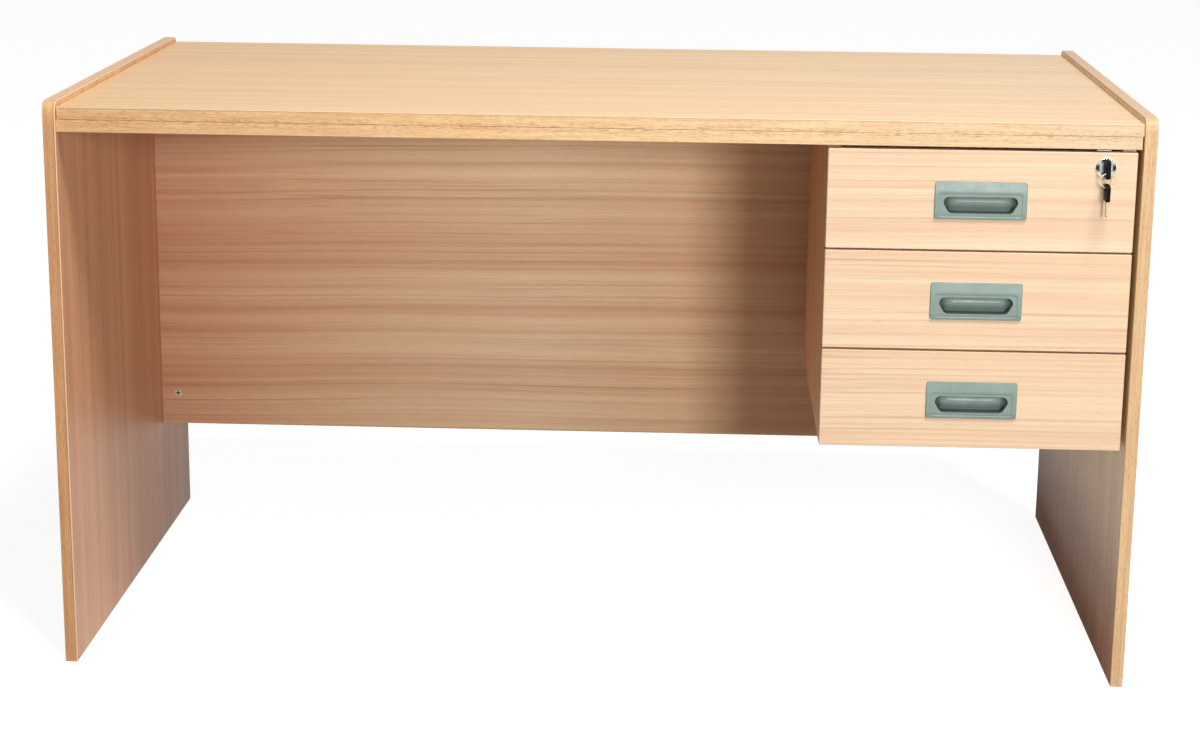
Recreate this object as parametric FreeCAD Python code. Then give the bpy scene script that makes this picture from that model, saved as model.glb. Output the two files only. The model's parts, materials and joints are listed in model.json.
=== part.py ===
"""Computer desk: a double-board top between two slab sides, a modesty panel, and a hanging pedestal
of three drawers with a lock in the top one. Millimetres, +Z up, front towards -Y, +X to the right
as seen from the front. The origin is on the floor, at the middle of the space that the desk and the
key in its lock take up."""
import FreeCAD
import Part
import math
import os

Vector = FreeCAD.Vector
X_AXIS = Vector(1, 0, 0)
Y_AXIS = Vector(0, 1, 0)
Z_AXIS = Vector(0, 0, 1)
QUARTER_TURN = 90.0

# Boards and edge bands
board = 16.0
band = 2.0
band_round = 0.8
overrun = 1.0
coincidence = 1e-7

# Desk
desk_width = 1400.0
desk_height = 750.0
side_depth = 750.0
side_corner_radius = 15.0
side_rise = 8.0
desktop_front_setback = 6.0
desktop_rear_setback = 2.0
upper_board_left_gap = 0.8
lower_board_right_gap = 1.6
modesty_distance = 570.0
modesty_floor_gap = 176.0

# Drawer fronts
front_width = 386.0
front_height = 127.0
front_gap = 2.5
front_top_gap = 4.0
front_side_gap = 6.0

# Pedestal
pedestal_front_gap = 1.5
pedestal_rear_room = 51.5
pedestal_back_thickness = 6.0
pedestal_back_setback = 4.0
rail_height = 60.0
bracket_leg = 14.0
bracket_length = 40.0
bracket_thickness = 1.5
bracket_end_distance = 60.0

# Drawer boxes
box_board = 12.0
box_height = 70.0
box_lift = 22.0
box_depth = 400.0
box_bottom_thickness = 4.0
box_bottom_lift = 8.0
groove_depth = 6.0
groove_play = 0.2

# Drawer slides
slide_space = 12.7
slide_height = 35.0
slide_rear_setback = 0.5
slide_steel = 1.2
slide_front_distance = 2.0
slide_depth = 10.2
slide_lip = 0.8
inner_slide_height = 24.4
inner_slide_depth = 9.0
ball_radius = 2.0
ball_offset = 5.6
cage_length = 96.0
cage_width = 5.6
cage_thickness = 2.0
cage_play = 0.15
balls_per_strip = 5

# Handles
handle_width = 116.0
handle_height = 48.0
handle_proud = 2.2
handle_top_proud = 0.8
handle_corner = 2.5
handle_cut_play = 0.5
cup_wall = 3.0
cup_depth = 13.5
recess_width = 93.0
recess_bottom_width = 67.4
recess_top = 4.6
recess_bottom = -16.6
recess_corner = 7.0
recess_shallow = 5.5
recess_bulge = 3.5
recess_bulge_height = -3.0
recess_deep = 11.0
panel_step = 0.6
panel_width = 104.0
panel_top = 8.8
panel_bottom = -20.8
panel_corner = 4.0

# Lock
lock_side_distance = 39.5
lock_top_distance = 18.8
bezel_radius = 12.6
bezel_proud = 2.5
bezel_round = 0.9
barrel_radius = 10.0
barrel_play = 0.15
plug_radius = 8.0
plug_play = 0.05
plug_face_setback = 0.4
lock_box_width = 34.0
lock_box_above = 16.3
lock_box_below = 12.0
lock_box_depth = 10.0
lock_box_wall = 2.0
bolt_width = 18.0
bolt_thickness = 4.6
bolt_play = 0.2
bolt_foot = 11.0
bolt_top = 19.3
drive_pin_circle = 6.0
drive_pin_radius = 1.3
drive_pin_play = 0.5
drive_angle = 45.0
strike_length = 36.0
strike_width = 14.0
strike_thickness = 1.0
strike_screw_spread = 27.0
strike_play = 0.5
mortise_depth = 9.0

# Keys
bow_length = 21.0
bow_width = 23.5
bow_thickness = 5.4
bow_round = 1.2
bow_outer_corner = 5.0
bow_inner_corner = 3.0
bow_stand_off = 1.5
bow_slot_radius = 2.2
bow_slot_half_length = 5.5
bow_web = 3.0
blade_length = 20.0
blade_height = 7.0
blade_thickness = 2.0
blade_tip = 2.0
blade_notch = 1.0
blade_notch_distances = (6.0, 9.0, 12.0, 15.0)
tang_length = 8.0
keyway_play = 0.2
ring_radius = 9.0
ring_wire = 0.7
ring_play = 0.05

# Places given as shares of the piece that they lie on
slide_screw_shares = (0.1, 0.5, 0.9)
bracket_screw_shares = (0.25, 0.75)
box_back_screw_shares = (0.1, 0.75)
modesty_dowel_shares = (-0.67, 0.0, 0.67)
lamination_screw_shares = (0.2, 0.45, 0.65)

# Fittings
cam_radius = 6.0
cam_thickness = 10.0
cam_cross_width = 1.6
cam_cross_length = 8.0
cam_cross_depth = 3.0
cam_distance = 24.0
cam_bolt_radius = 2.8
cam_bolt_in_side = 11.0
fitting_play = 0.1
dowel_radius = 4.0
dowel_length = 24.0
dowel_in_side = 10.0
screw_head_radius = 3.4
screw_head_height = 1.6
screw_radius = 1.7
screw_length = 12.0
lamination_screw_length = 26.0
lamination_screw_sink = 2.0
desktop_cam_distance = 90.0
desktop_dowel_offset = 32.0
modesty_cam_height = 48.0
modesty_dowel_height = 110.0
modesty_top_dowel_drop = 80.0
small_cam_radius = 5.0
small_cam_thickness = 8.0
small_cam_distance = 20.0
small_bolt_radius = 2.0
small_bolt_in_front = 9.0

# Worked out from the sizes above
bow_slot_distance = bow_length - bow_web - bow_slot_radius
key_depth = max(bow_length, bow_slot_distance + bow_width / 2)
key_reach = bezel_proud + bow_stand_off + key_depth - desktop_front_setback
side_front = (key_reach - side_depth) / 2
side_rear = side_front + side_depth
inner_right = desk_width / 2 - board
inner_left = -inner_right
desktop_top = desk_height - side_rise
desktop_joint = desktop_top - board
desktop_under = desktop_joint - board
desktop_front = side_front + desktop_front_setback
desktop_rear = side_rear - desktop_rear_setback
modesty_front = side_front + modesty_distance
modesty_rear = modesty_front + board

fronts_right = inner_right - front_side_gap
fronts_left = fronts_right - front_width
front_face = desktop_front
front_back = front_face + board
fronts_top = desktop_under - front_top_gap
front_pitch = front_height + front_gap
fronts_bottom = fronts_top - 3 * front_height - 2 * front_gap

pedestal_inner_left = fronts_left + board
pedestal_inner_right = fronts_right - board
pedestal_front = front_back + pedestal_front_gap
box_rear = front_back + box_depth
pedestal_rear = box_rear + pedestal_rear_room
pedestal_bottom_top = fronts_bottom + board

box_left = pedestal_inner_left + slide_space
box_right = pedestal_inner_right - slide_space
slide_front = pedestal_front + slide_front_distance
slide_length = box_rear - slide_rear_setback - slide_front
slide_travel = slide_length - cage_length
cage_front_distance = slide_travel / 2 + slide_front_distance

lock_x = fronts_right - lock_side_distance
lock_z = fronts_top - lock_top_distance
bow_back = front_face - bezel_proud - bow_stand_off
ring_rise = math.sqrt((ring_radius - ring_wire) ** 2 - (bow_thickness / 2) ** 2) - ring_play
ring_centre_z = lock_z - bow_slot_half_length - ring_rise

DRAWERS = ("upper", "middle", "lower")
parts = {}


def front_bottom(index):
    """Height of the lower edge of a drawer front, counted from the top drawer."""
    return fronts_top - front_height - index * front_pitch


def box_bottom(index):
    """Height of the lower edge of a drawer box's sides."""
    return front_bottom(index) + box_lift


def slide_middle(index):
    """Height of the middle of a drawer's slides."""
    return box_bottom(index) + box_height / 2


def block(x0, x1, y0, y1, z0, z1):
    """A box between two corners, given as ranges."""
    return Part.makeBox(x1 - x0, y1 - y0, z1 - z0, Vector(x0, y0, z0))


def rod(start, direction, radius, length):
    """A round bar from a point along a direction."""
    return Part.makeCylinder(radius, length, start, direction)


def plate(outline, thickness_vector):
    """A flat solid from closed edges or points, swept by a vector."""
    wire = outline if isinstance(outline, Part.Wire) else Part.makePolygon(outline + outline[:1])
    return Part.Face(wire).extrude(thickness_vector)


def rounded_wire(corners, radii):
    """A closed wire through corners, each rounded with an arc of its own radius."""
    edges = []
    count = len(corners)
    ends = []
    for i in range(count):
        here, before, after = corners[i], corners[i - 1], corners[(i + 1) % count]
        to_before = (before - here).normalize()
        to_after = (after - here).normalize()
        radius = radii[i]
        if radius == 0:
            ends.append((here, None, here))
            continue
        half = to_before.getAngle(to_after) / 2
        run = radius / math.tan(half)
        middle_way = (to_before + to_after).normalize()
        centre = here + middle_way * (radius / math.sin(half))
        ends.append((here + to_before * run, centre - middle_way * radius, here + to_after * run))
    for i in range(count):
        start, middle, end = ends[i]
        if middle is not None:
            edges.append(Part.Arc(start, middle, end).toShape())
        following = ends[(i + 1) % count][0]
        if not end.isEqual(following, coincidence):
            edges.append(Part.LineSegment(end, following).toShape())
    return Part.Wire(edges)


def cut_all(shape, tools):
    """The shape with every tool cut out of it."""
    return shape.cut(tools) if tools else shape


def screw(head_face, direction, length=screw_length):
    """A pan-head screw: its head lies before the face point, its shank runs into the board."""
    head = rod(head_face - direction * screw_head_height, direction, screw_head_radius, screw_head_height)
    shank = rod(head_face, direction, screw_radius, length)
    return head.fuse(shank).removeSplitter()


def screw_hole(head_face, direction, length=screw_length):
    """Room for a screw's shank."""
    return rod(head_face, direction, screw_radius + fitting_play, length + fitting_play)


def keep(name, solids):
    """Stores a sub-part: one shape, or a list of separate solids."""
    solids = solids if isinstance(solids, list) else [solids]
    single = []
    for shape in solids:
        single.extend(shape.Solids)
    parts[name] = single[0] if len(single) == 1 else Part.makeCompound(single)


# Side panels

def side_outline(inset):
    """A side panel's outline in the plane x = 0, with its two upper corners rounded."""
    radius = side_corner_radius - inset
    front, rear, top = side_front + inset, side_rear - inset, desk_height - inset
    corners = [Vector(0, front, 0), Vector(0, front, top), Vector(0, rear, top), Vector(0, rear, 0)]
    return rounded_wire(corners, [0, radius, radius, 0])


def side_panel_and_band(x0):
    """One slab side and the band that runs up its front edge, over the top and down the rear."""
    sweep = X_AXIS * board
    core = plate(side_outline(band), sweep)
    whole = plate(side_outline(0), sweep)
    rim = whole.cut(core)
    outer = []
    for edge in rim.Edges:
        middle = edge.valueAt((edge.FirstParameter + edge.LastParameter) / 2)
        on_face = abs(middle.x) < band_round / 2 or abs(middle.x - board) < band_round / 2
        box = edge.BoundBox
        runs_across = box.XLength > band_round
        low = box.ZMax < band_round
        behind_front = box.YMin > side_front + band / 2
        before_rear = box.YMax < side_rear - band / 2
        below_top = box.ZMax < desk_height - band / 2
        inner_edge = behind_front and before_rear and below_top
        if on_face and not runs_across and not low and not inner_edge:
            outer.append(edge)
    rim = rim.makeFillet(band_round, outer)
    for shape in (core, rim):
        shape.translate(Vector(x0, 0, 0))
    return core, rim


# Fittings that join the boards

def cross_slot(centre, face_direction, across):
    """The cross-shaped driver slot in a cam's face."""
    along = face_direction.cross(across)
    slots = []
    for first, second in ((across, along), (along, across)):
        corner = centre - first * (cam_cross_length / 2) - second * (cam_cross_width / 2)
        points = [
            corner,
            corner + first * cam_cross_length,
            corner + first * cam_cross_length + second * cam_cross_width,
            corner + second * cam_cross_width,
        ]
        slots.append(plate(points, face_direction * -cam_cross_depth))
    return slots


def cam_joint(face_point, face_direction, towards_side):
    """A cam let into a board's face and the bolt that it pulls, which ends inside the side panel.
    face_point is the cam's centre on the board's face, cam_distance from the side panel."""
    cam = rod(face_point, face_direction * -1, cam_radius, cam_thickness)
    cam = cut_all(cam, cross_slot(face_point, face_direction, towards_side))
    bolt_start = face_point - face_direction * (board / 2) + towards_side * cam_radius
    bolt_length = cam_distance - cam_radius + cam_bolt_in_side
    bolt = rod(bolt_start, towards_side, cam_bolt_radius, bolt_length)
    pocket = rod(face_point, face_direction * -1, cam_radius + fitting_play, cam_thickness + fitting_play)
    drilling = rod(bolt_start, towards_side, cam_bolt_radius + fitting_play, bolt_length + fitting_play)
    return cam, bolt, pocket, drilling


def dowel_joint(end_point, towards_side):
    """A dowel across a butt joint. end_point is on the joint, in the middle of the board's edge."""
    start = end_point - towards_side * (dowel_length - dowel_in_side)
    dowel = rod(start, towards_side, dowel_radius, dowel_length)
    hole = rod(
        start - towards_side * fitting_play, towards_side,
        dowel_radius + fitting_play, dowel_length + 2 * fitting_play,
    )
    return dowel, hole


def make_desk():
    """The sides, the top, the modesty panel and the fittings between them."""
    left, left_rim = side_panel_and_band(-desk_width / 2)
    right, right_rim = side_panel_and_band(inner_right)
    board_front = desktop_front + band
    board_rear = desktop_rear - band
    upper = block(
        inner_left + upper_board_left_gap, inner_right,
        board_front, board_rear, desktop_joint, desktop_top,
    )
    lower = block(
        inner_left, inner_right - lower_board_right_gap,
        board_front, board_rear, desktop_under, desktop_joint,
    )
    modesty = block(
        inner_left, inner_right, modesty_front, modesty_rear, modesty_floor_gap + band, desktop_under,
    )
    cams, bolts, dowels, upper_cuts, lower_cuts, modesty_cuts, side_cuts = [], [], [], [], [], [], []

    desktop_cam_places = (
        desktop_front + desktop_cam_distance,
        (desktop_front + desktop_rear) / 2,
        desktop_rear - desktop_cam_distance,
    )
    for way in (X_AXIS, X_AXIS * -1):
        face_x = way.x * (inner_right - cam_distance)
        for place in desktop_cam_places:
            cam, bolt, pocket, drilling = cam_joint(Vector(face_x, place, desktop_under), Z_AXIS * -1, way)
            cams.append(cam)
            bolts.append(bolt)
            lower_cuts += [pocket, drilling]
            side_cuts.append(drilling)
            end = Vector(way.x * inner_right, place + desktop_dowel_offset, desktop_under + board / 2)
            dowel, hole = dowel_joint(end, way)
            dowels.append(dowel)
            lower_cuts.append(hole)
            side_cuts.append(hole)
        low_cam = Vector(face_x, modesty_front, modesty_floor_gap + modesty_cam_height)
        cam, bolt, pocket, drilling = cam_joint(low_cam, Y_AXIS * -1, way)
        cams.append(cam)
        bolts.append(bolt)
        modesty_cuts += [pocket, drilling]
        side_cuts.append(drilling)
        for height in (modesty_floor_gap + modesty_dowel_height, desktop_under - modesty_top_dowel_drop):
            end = Vector(way.x * inner_right, (modesty_front + modesty_rear) / 2, height)
            dowel, hole = dowel_joint(end, way)
            dowels.append(dowel)
            modesty_cuts.append(hole)
            side_cuts.append(hole)

    for share in modesty_dowel_shares:
        end = Vector(inner_right * share, (modesty_front + modesty_rear) / 2, desktop_under)
        dowel, hole = dowel_joint(end, Z_AXIS)
        dowels.append(dowel)
        modesty_cuts.append(hole)
        lower_cuts.append(hole)

    lamination_screws = []
    head_room = screw_head_height + lamination_screw_sink
    for share in lamination_screw_shares:
        x = inner_left + (inner_right - inner_left) * share
        for y in (desktop_front + desktop_cam_distance, (modesty_rear + desktop_rear) / 2):
            head_face = Vector(x, y, desktop_under + head_room)
            lamination_screws.append(screw(head_face, Z_AXIS, lamination_screw_length))
            hole = screw_hole(head_face, Z_AXIS, lamination_screw_length)
            lower_cuts.append(hole)
            upper_cuts.append(hole)
            sink = Vector(x, y, desktop_under)
            lower_cuts.append(rod(sink, Z_AXIS, screw_head_radius + fitting_play, head_room))

    # Mortise and recess for the lock's bolt and strike plate
    bolt_y = front_back + lock_box_wall + bolt_play + bolt_thickness / 2
    strike_half, strike_side = strike_length / 2, strike_width / 2
    slot_half = bolt_width / 2 + strike_play
    slot_side = bolt_thickness / 2 + strike_play
    recess = block(
        lock_x - strike_half, lock_x + strike_half, bolt_y - strike_side, bolt_y + strike_side,
        desktop_under - overrun, desktop_under + strike_thickness,
    )
    mortise = block(
        lock_x - slot_half, lock_x + slot_half, bolt_y - slot_side, bolt_y + slot_side,
        desktop_under - overrun, desktop_under + mortise_depth,
    )
    strike = block(
        lock_x - strike_half, lock_x + strike_half, bolt_y - strike_side, bolt_y + strike_side,
        desktop_under, desktop_under + strike_thickness,
    ).cut(mortise)
    strike_screws = []
    for way in (1, -1):
        head_face = Vector(lock_x + way * strike_screw_spread / 2, bolt_y, desktop_under)
        strike_screws.append(rod(head_face, Z_AXIS, screw_radius, screw_length))
        hole = rod(head_face, Z_AXIS, screw_radius + fitting_play, screw_length + fitting_play)
        strike = strike.cut(hole)
        lower_cuts.append(hole)
    lower_cuts += [recess, mortise]

    keep("left_side_panel", cut_all(left, side_cuts))
    keep("right_side_panel", cut_all(right, side_cuts))
    keep("left_side_edge_band", left_rim)
    keep("right_side_edge_band", right_rim)
    keep("desktop_upper_board", cut_all(upper, upper_cuts))
    keep("desktop_lower_board", cut_all(lower, lower_cuts))
    keep("modesty_panel", cut_all(modesty, modesty_cuts))
    keep("cam_locks", cams)
    keep("cam_bolts", bolts)
    keep("wooden_dowels", dowels)
    keep("lamination_screws", lamination_screws)
    keep("lock_strike_plate", strike)
    return strike_screws


def straight_band(x0, x1, y0, y1, z0, z1, outside):
    """A straight edge band, its long outer edges slightly rounded. outside is the way that it faces."""
    bar = block(x0, x1, y0, y1, z0, z1)
    chosen = []
    for edge in bar.Edges:
        box = edge.BoundBox
        along_x = box.XLength > band
        middle = box.Center
        outward = (middle - bar.BoundBox.Center).dot(outside)
        if along_x and outward > 0:
            chosen.append(edge)
    return bar.makeFillet(band_round, chosen)


def make_edge_bands():
    """The bands on the desktop's two boards, front and rear, and under the modesty panel."""
    bands = {"front": [], "rear": []}
    layers = (
        (inner_left + upper_board_left_gap, inner_right, desktop_joint, desktop_top),
        (inner_left, inner_right - lower_board_right_gap, desktop_under, desktop_joint),
    )
    for x0, x1, low, high in layers:
        front_back_y = desktop_front + band
        rear_front_y = desktop_rear - band
        bands["front"].append(straight_band(x0, x1, desktop_front, front_back_y, low, high, Y_AXIS * -1))
        bands["rear"].append(straight_band(x0, x1, rear_front_y, desktop_rear, low, high, Y_AXIS))
    keep("desktop_edge_bands", bands["front"] + bands["rear"])
    low = straight_band(
        inner_left, inner_right, modesty_front, modesty_rear,
        modesty_floor_gap, modesty_floor_gap + band, Z_AXIS * -1,
    )
    keep("modesty_edge_band", low)


# Pedestal

def channel(face_x, way, y0, middle_z, height, depth, lip):
    """A steel channel along Y. Its web lies on the plane x = face_x; its flanges reach out along way."""
    half = height / 2
    x = [face_x, face_x + way * slide_steel, face_x + way * (depth - slide_steel), face_x + way * depth]
    outer, inner, lip_low = half, half - slide_steel, half - slide_steel - lip
    points = [(x[0], outer), (x[3], outer), (x[3], lip_low)]
    if lip:
        points += [(x[2], lip_low), (x[2], inner)]
    else:
        points = [(x[0], outer), (x[3], outer), (x[3], inner)]
    points += [(x[1], inner)]
    points += [(px, -pz) for px, pz in reversed(points)]
    outline = [Vector(px, y0, middle_z + pz) for px, pz in points]
    return plate(outline, Y_AXIS * slide_length)


def slide_screw_places():
    """Distances of the screws along a slide, from its front end."""
    return [slide_length * share for share in slide_screw_shares]


def make_pedestal(strike_screws):
    """The hanging carcass, its brackets, and the slide members that are screwed to it."""
    low = fronts_bottom
    left = block(fronts_left, pedestal_inner_left, pedestal_front, pedestal_rear, low, desktop_under)
    right = block(pedestal_inner_right, fronts_right, pedestal_front, pedestal_rear, low, desktop_under)
    bottom = block(
        pedestal_inner_left, pedestal_inner_right, pedestal_front, pedestal_rear, low, pedestal_bottom_top,
    )
    back_y = pedestal_rear - pedestal_back_setback - pedestal_back_thickness
    back = block(
        pedestal_inner_left, pedestal_inner_right, back_y, back_y + pedestal_back_thickness,
        pedestal_bottom_top, desktop_under - rail_height,
    )
    rail = block(
        pedestal_inner_left, pedestal_inner_right, pedestal_rear - board, pedestal_rear,
        desktop_under - rail_height, desktop_under,
    )
    side_cuts = {"left": [], "right": []}
    bottom_cuts, rail_cuts, brackets, top_cuts = [], [], [], []
    screws = list(strike_screws)
    slide_screws = []

    for name, face_x, way in (("left", pedestal_inner_left, 1), ("right", pedestal_inner_right, -1)):
        inward = X_AXIS * way
        thick_x = sorted((face_x, face_x + way * bracket_thickness))
        leg_x = sorted((face_x, face_x + way * bracket_leg))
        front_y = pedestal_front + bracket_end_distance
        rear_y = pedestal_rear - bracket_end_distance
        for y in (front_y, rear_y - bracket_length):
            upright = block(*thick_x, y, y + bracket_length, desktop_under - bracket_leg, desktop_under)
            flat = block(*leg_x, y, y + bracket_length, desktop_under - bracket_thickness, desktop_under)
            bracket = upright.fuse(flat).removeSplitter()
            for place, goes_up in zip(bracket_screw_shares, (False, True)):
                along = y + bracket_length * place
                up_face = Vector(face_x + way * (bracket_leg + bracket_thickness) / 2, along,
                                 desktop_under - bracket_thickness)
                side_face = Vector(face_x + way * bracket_thickness, along,
                                   desktop_under - (bracket_leg + bracket_thickness) / 2)
                if goes_up:
                    screws.append(screw(up_face, Z_AXIS))
                    hole = screw_hole(up_face, Z_AXIS)
                    top_cuts.append(hole)
                else:
                    screws.append(screw(side_face, inward * -1))
                    hole = screw_hole(side_face, inward * -1)
                    side_cuts[name].append(hole)
                bracket = bracket.cut(hole)
            brackets.append(bracket)
        for y in (front_y, rear_y):
            start = Vector(face_x - way * (dowel_length - dowel_in_side) / 2, y, low + board / 2)
            pin = rod(start, inward, dowel_radius, dowel_length)
            room = rod(
                start - inward * fitting_play, inward,
                dowel_radius + fitting_play, dowel_length + 2 * fitting_play,
            )
            pedestal_dowels.append(pin)
            side_cuts[name].append(room)
            bottom_cuts.append(room)
        start = Vector(face_x - way * (dowel_length - dowel_in_side) / 2, pedestal_rear - board / 2,
                       desktop_under - rail_height / 2)
        pedestal_dowels.append(rod(start, inward, dowel_radius, dowel_length))
        room = rod(
            start - inward * fitting_play, inward,
            dowel_radius + fitting_play, dowel_length + 2 * fitting_play,
        )
        side_cuts[name].append(room)
        rail_cuts.append(room)

    for index, drawer in enumerate(DRAWERS):
        members = []
        for name, face_x, way in (("left", pedestal_inner_left, 1), ("right", pedestal_inner_right, -1)):
            member = channel(
                face_x, way, slide_front, slide_middle(index), slide_height, slide_depth, slide_lip,
            )
            for place in slide_screw_places():
                head_face = Vector(face_x + way * slide_steel, slide_front + place, slide_middle(index))
                slide_screws.append(screw(head_face, X_AXIS * -way))
                hole = screw_hole(head_face, X_AXIS * -way)
                side_cuts[name].append(hole)
                member = member.cut(hole)
            members.append(member)
        keep(drawer + "_cabinet_slides", members)

    keep("pedestal_left_side", cut_all(left, side_cuts["left"]))
    keep("pedestal_right_side", cut_all(right, side_cuts["right"]))
    keep("pedestal_bottom", cut_all(bottom, bottom_cuts))
    keep("pedestal_back", back)
    keep("pedestal_rear_rail", cut_all(rail, rail_cuts))
    keep("pedestal_brackets", brackets)
    keep("pedestal_screws", screws)
    keep("slide_screws", slide_screws)
    parts["desktop_lower_board"] = parts["desktop_lower_board"].cut(top_cuts)
    parts["wooden_dowels"] = Part.makeCompound(parts["wooden_dowels"].Solids + pedestal_dowels)


# Handles

def recess_outline(y):
    """The outline of a handle's finger recess: a rounded trapezium, wider at the top, at one depth y."""
    high = Vector(recess_width / 2 - recess_corner, y, recess_top - recess_corner)
    low = Vector(recess_bottom_width / 2, y, recess_bottom + recess_corner)
    along = (high - low).normalize()
    outward = Vector(along.z, 0, -along.x)
    upper_run = recess_corner * (1 - outward.z) / along.z
    lower_run = recess_corner * (1 + outward.z) / along.z
    upper = high + outward * recess_corner + along * upper_run
    lower = low + outward * recess_corner - along * lower_run
    corners = [Vector(-upper.x, y, upper.z), upper, lower, Vector(-lower.x, y, lower.z)]
    return rounded_wire(corners, [recess_corner] * 4)


def make_handle(centre_x, centre_z):
    """A flush pull: a flange with a sunk panel, and a cup whose back bulges above and falls away below."""
    half_w, half_h = handle_width / 2, handle_height / 2
    flange_corners = [
        Vector(-half_w, 0, half_h), Vector(half_w, 0, half_h),
        Vector(half_w, 0, -half_h), Vector(-half_w, 0, -half_h),
    ]
    flange = plate(rounded_wire(flange_corners, [handle_corner] * 4), Y_AXIS * -handle_proud)
    cup = block(
        -recess_width / 2 - cup_wall, recess_width / 2 + cup_wall, 0, cup_depth,
        recess_bottom - cup_wall, recess_top + cup_wall,
    )
    body = flange.fuse(cup)
    half_p = panel_width / 2
    panel_corners = [
        Vector(-half_p, -handle_proud, panel_top), Vector(half_p, -handle_proud, panel_top),
        Vector(half_p, -handle_proud, panel_bottom), Vector(-half_p, -handle_proud, panel_bottom),
    ]
    sunk = plate(rounded_wire(panel_corners, [0, 0, panel_corner, panel_corner]), Y_AXIS * panel_step)
    brow = plate([
        Vector(-half_w, -handle_proud - overrun, half_h + overrun),
        Vector(-half_w, -handle_top_proud, half_h + overrun),
        Vector(-half_w, -handle_top_proud, half_h),
        Vector(-half_w, -handle_proud, panel_top),
        Vector(-half_w, -handle_proud - overrun, panel_top),
    ], X_AXIS * handle_width)
    front_y = -handle_proud - overrun
    across = recess_width
    profile = Part.Wire([
        Part.LineSegment(Vector(-across, front_y, recess_bottom - overrun),
                         Vector(-across, front_y, recess_top + overrun)).toShape(),
        Part.LineSegment(Vector(-across, front_y, recess_top + overrun),
                         Vector(-across, recess_shallow, recess_top + overrun)).toShape(),
        Part.Arc(Vector(-across, recess_shallow, recess_top + overrun),
                 Vector(-across, recess_bulge, recess_bulge_height),
                 Vector(-across, recess_deep, recess_bottom - overrun)).toShape(),
        Part.LineSegment(Vector(-across, recess_deep, recess_bottom - overrun),
                         Vector(-across, front_y, recess_bottom - overrun)).toShape(),
    ])
    void = Part.Face(profile).extrude(X_AXIS * (2 * across))
    outline = plate(recess_outline(front_y), Y_AXIS * (cup_depth - front_y))
    body = body.cut([sunk, brow]).cut(void.common(outline)).removeSplitter()
    body.translate(Vector(centre_x, front_face, centre_z))
    return body


def handle_cut_out(centre_x, centre_z):
    """The pocket in a drawer front that takes a handle's cup."""
    half = recess_width / 2 + cup_wall + handle_cut_play
    return block(
        centre_x - half, centre_x + half,
        front_face - overrun, front_face + cup_depth + handle_cut_play,
        centre_z + recess_bottom - cup_wall - handle_cut_play,
        centre_z + recess_top + cup_wall + handle_cut_play,
    )


# Drawers

def make_drawer(index, drawer, lock_cuts):
    """One drawer: front, handle, box, slide members and the fixings that hold them together."""
    low = front_bottom(index)
    centre_x = (fronts_left + fronts_right) / 2
    centre_z = low + front_height / 2
    base = box_bottom(index)
    top = base + box_height
    front = block(fronts_left, fronts_right, front_face, front_back, low, low + front_height)
    front_cuts = [handle_cut_out(centre_x, centre_z)] + lock_cuts
    floor_low = base + box_bottom_lift
    groove_low = floor_low - groove_play
    groove_high = floor_low + box_bottom_thickness + groove_play
    inner_x0, inner_x1 = box_left + box_board, box_right - box_board
    back_front = box_rear - box_board
    groove = block(
        inner_x0 - groove_depth, inner_x1 + groove_depth, front_back - overrun, box_rear + overrun,
        groove_low, groove_high,
    )
    left = block(box_left, inner_x0, front_back, box_rear, base, top).cut(groove)
    right = block(inner_x1, box_right, front_back, box_rear, base, top).cut(groove)
    back = block(inner_x0, inner_x1, back_front, box_rear, groove_high, top)
    floor = block(
        inner_x0 - groove_depth + groove_play, inner_x1 + groove_depth - groove_play,
        front_back, box_rear, floor_low, floor_low + box_bottom_thickness,
    )
    fixings, cuts = [], {"left": [], "right": []}
    back_cuts = []
    members = []
    sides = (("left", box_left, inner_x0, 1), ("right", box_right, inner_x1, -1))
    for name, outer_x, inner_x, way in sides:
        inward = X_AXIS * way
        member = channel(
            outer_x, -way, slide_front, slide_middle(index), inner_slide_height, inner_slide_depth, 0,
        )
        for place in slide_screw_places():
            head_face = Vector(outer_x - way * slide_steel, slide_front + place, slide_middle(index))
            fixings.append(screw(head_face, inward, box_board - slide_steel))
            hole = screw_hole(head_face, inward, box_board - slide_steel)
            cuts[name].append(hole)
            member = member.cut(hole)
        members.append(member)
        for share in box_back_screw_shares:
            height = groove_high + (top - groove_high) * share
            head_face = Vector(outer_x, box_rear - box_board / 2, height)
            fixings.append(screw(head_face, inward, lamination_screw_length))
            hole = screw_hole(head_face, inward, lamination_screw_length)
            cuts[name].append(hole)
            back_cuts.append(hole)
        cam_y = front_back + small_cam_distance
        cam_z = top - small_cam_distance
        cam_face = Vector(inner_x, cam_y, cam_z)
        fixings.append(rod(cam_face, inward * -1, small_cam_radius, small_cam_thickness))
        pocket = rod(
            cam_face, inward * -1,
            small_cam_radius + fitting_play, small_cam_thickness + fitting_play,
        )
        cuts[name].append(pocket)
        bolt_start = Vector(inner_x - way * box_board / 2, cam_y - small_cam_radius, cam_z)
        bolt_length = small_cam_distance - small_cam_radius + small_bolt_in_front
        fixings.append(rod(bolt_start, Y_AXIS * -1, small_bolt_radius, bolt_length))
        drilling = rod(bolt_start, Y_AXIS * -1, small_bolt_radius + fitting_play, bolt_length + fitting_play)
        cuts[name].append(drilling)
        front_cuts.append(drilling)
    keep(drawer + "_drawer_front", cut_all(front, front_cuts))
    keep(drawer + "_drawer_handle", make_handle(centre_x, centre_z))
    keep(drawer + "_drawer_left_side", cut_all(left, cuts["left"]))
    keep(drawer + "_drawer_right_side", cut_all(right, cuts["right"]))
    keep(drawer + "_drawer_back", cut_all(back, back_cuts))
    keep(drawer + "_drawer_bottom", floor)
    keep(drawer + "_drawer_slides", members)
    keep(drawer + "_drawer_fixings", fixings)
    make_ball_cages(index, drawer)


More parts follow.
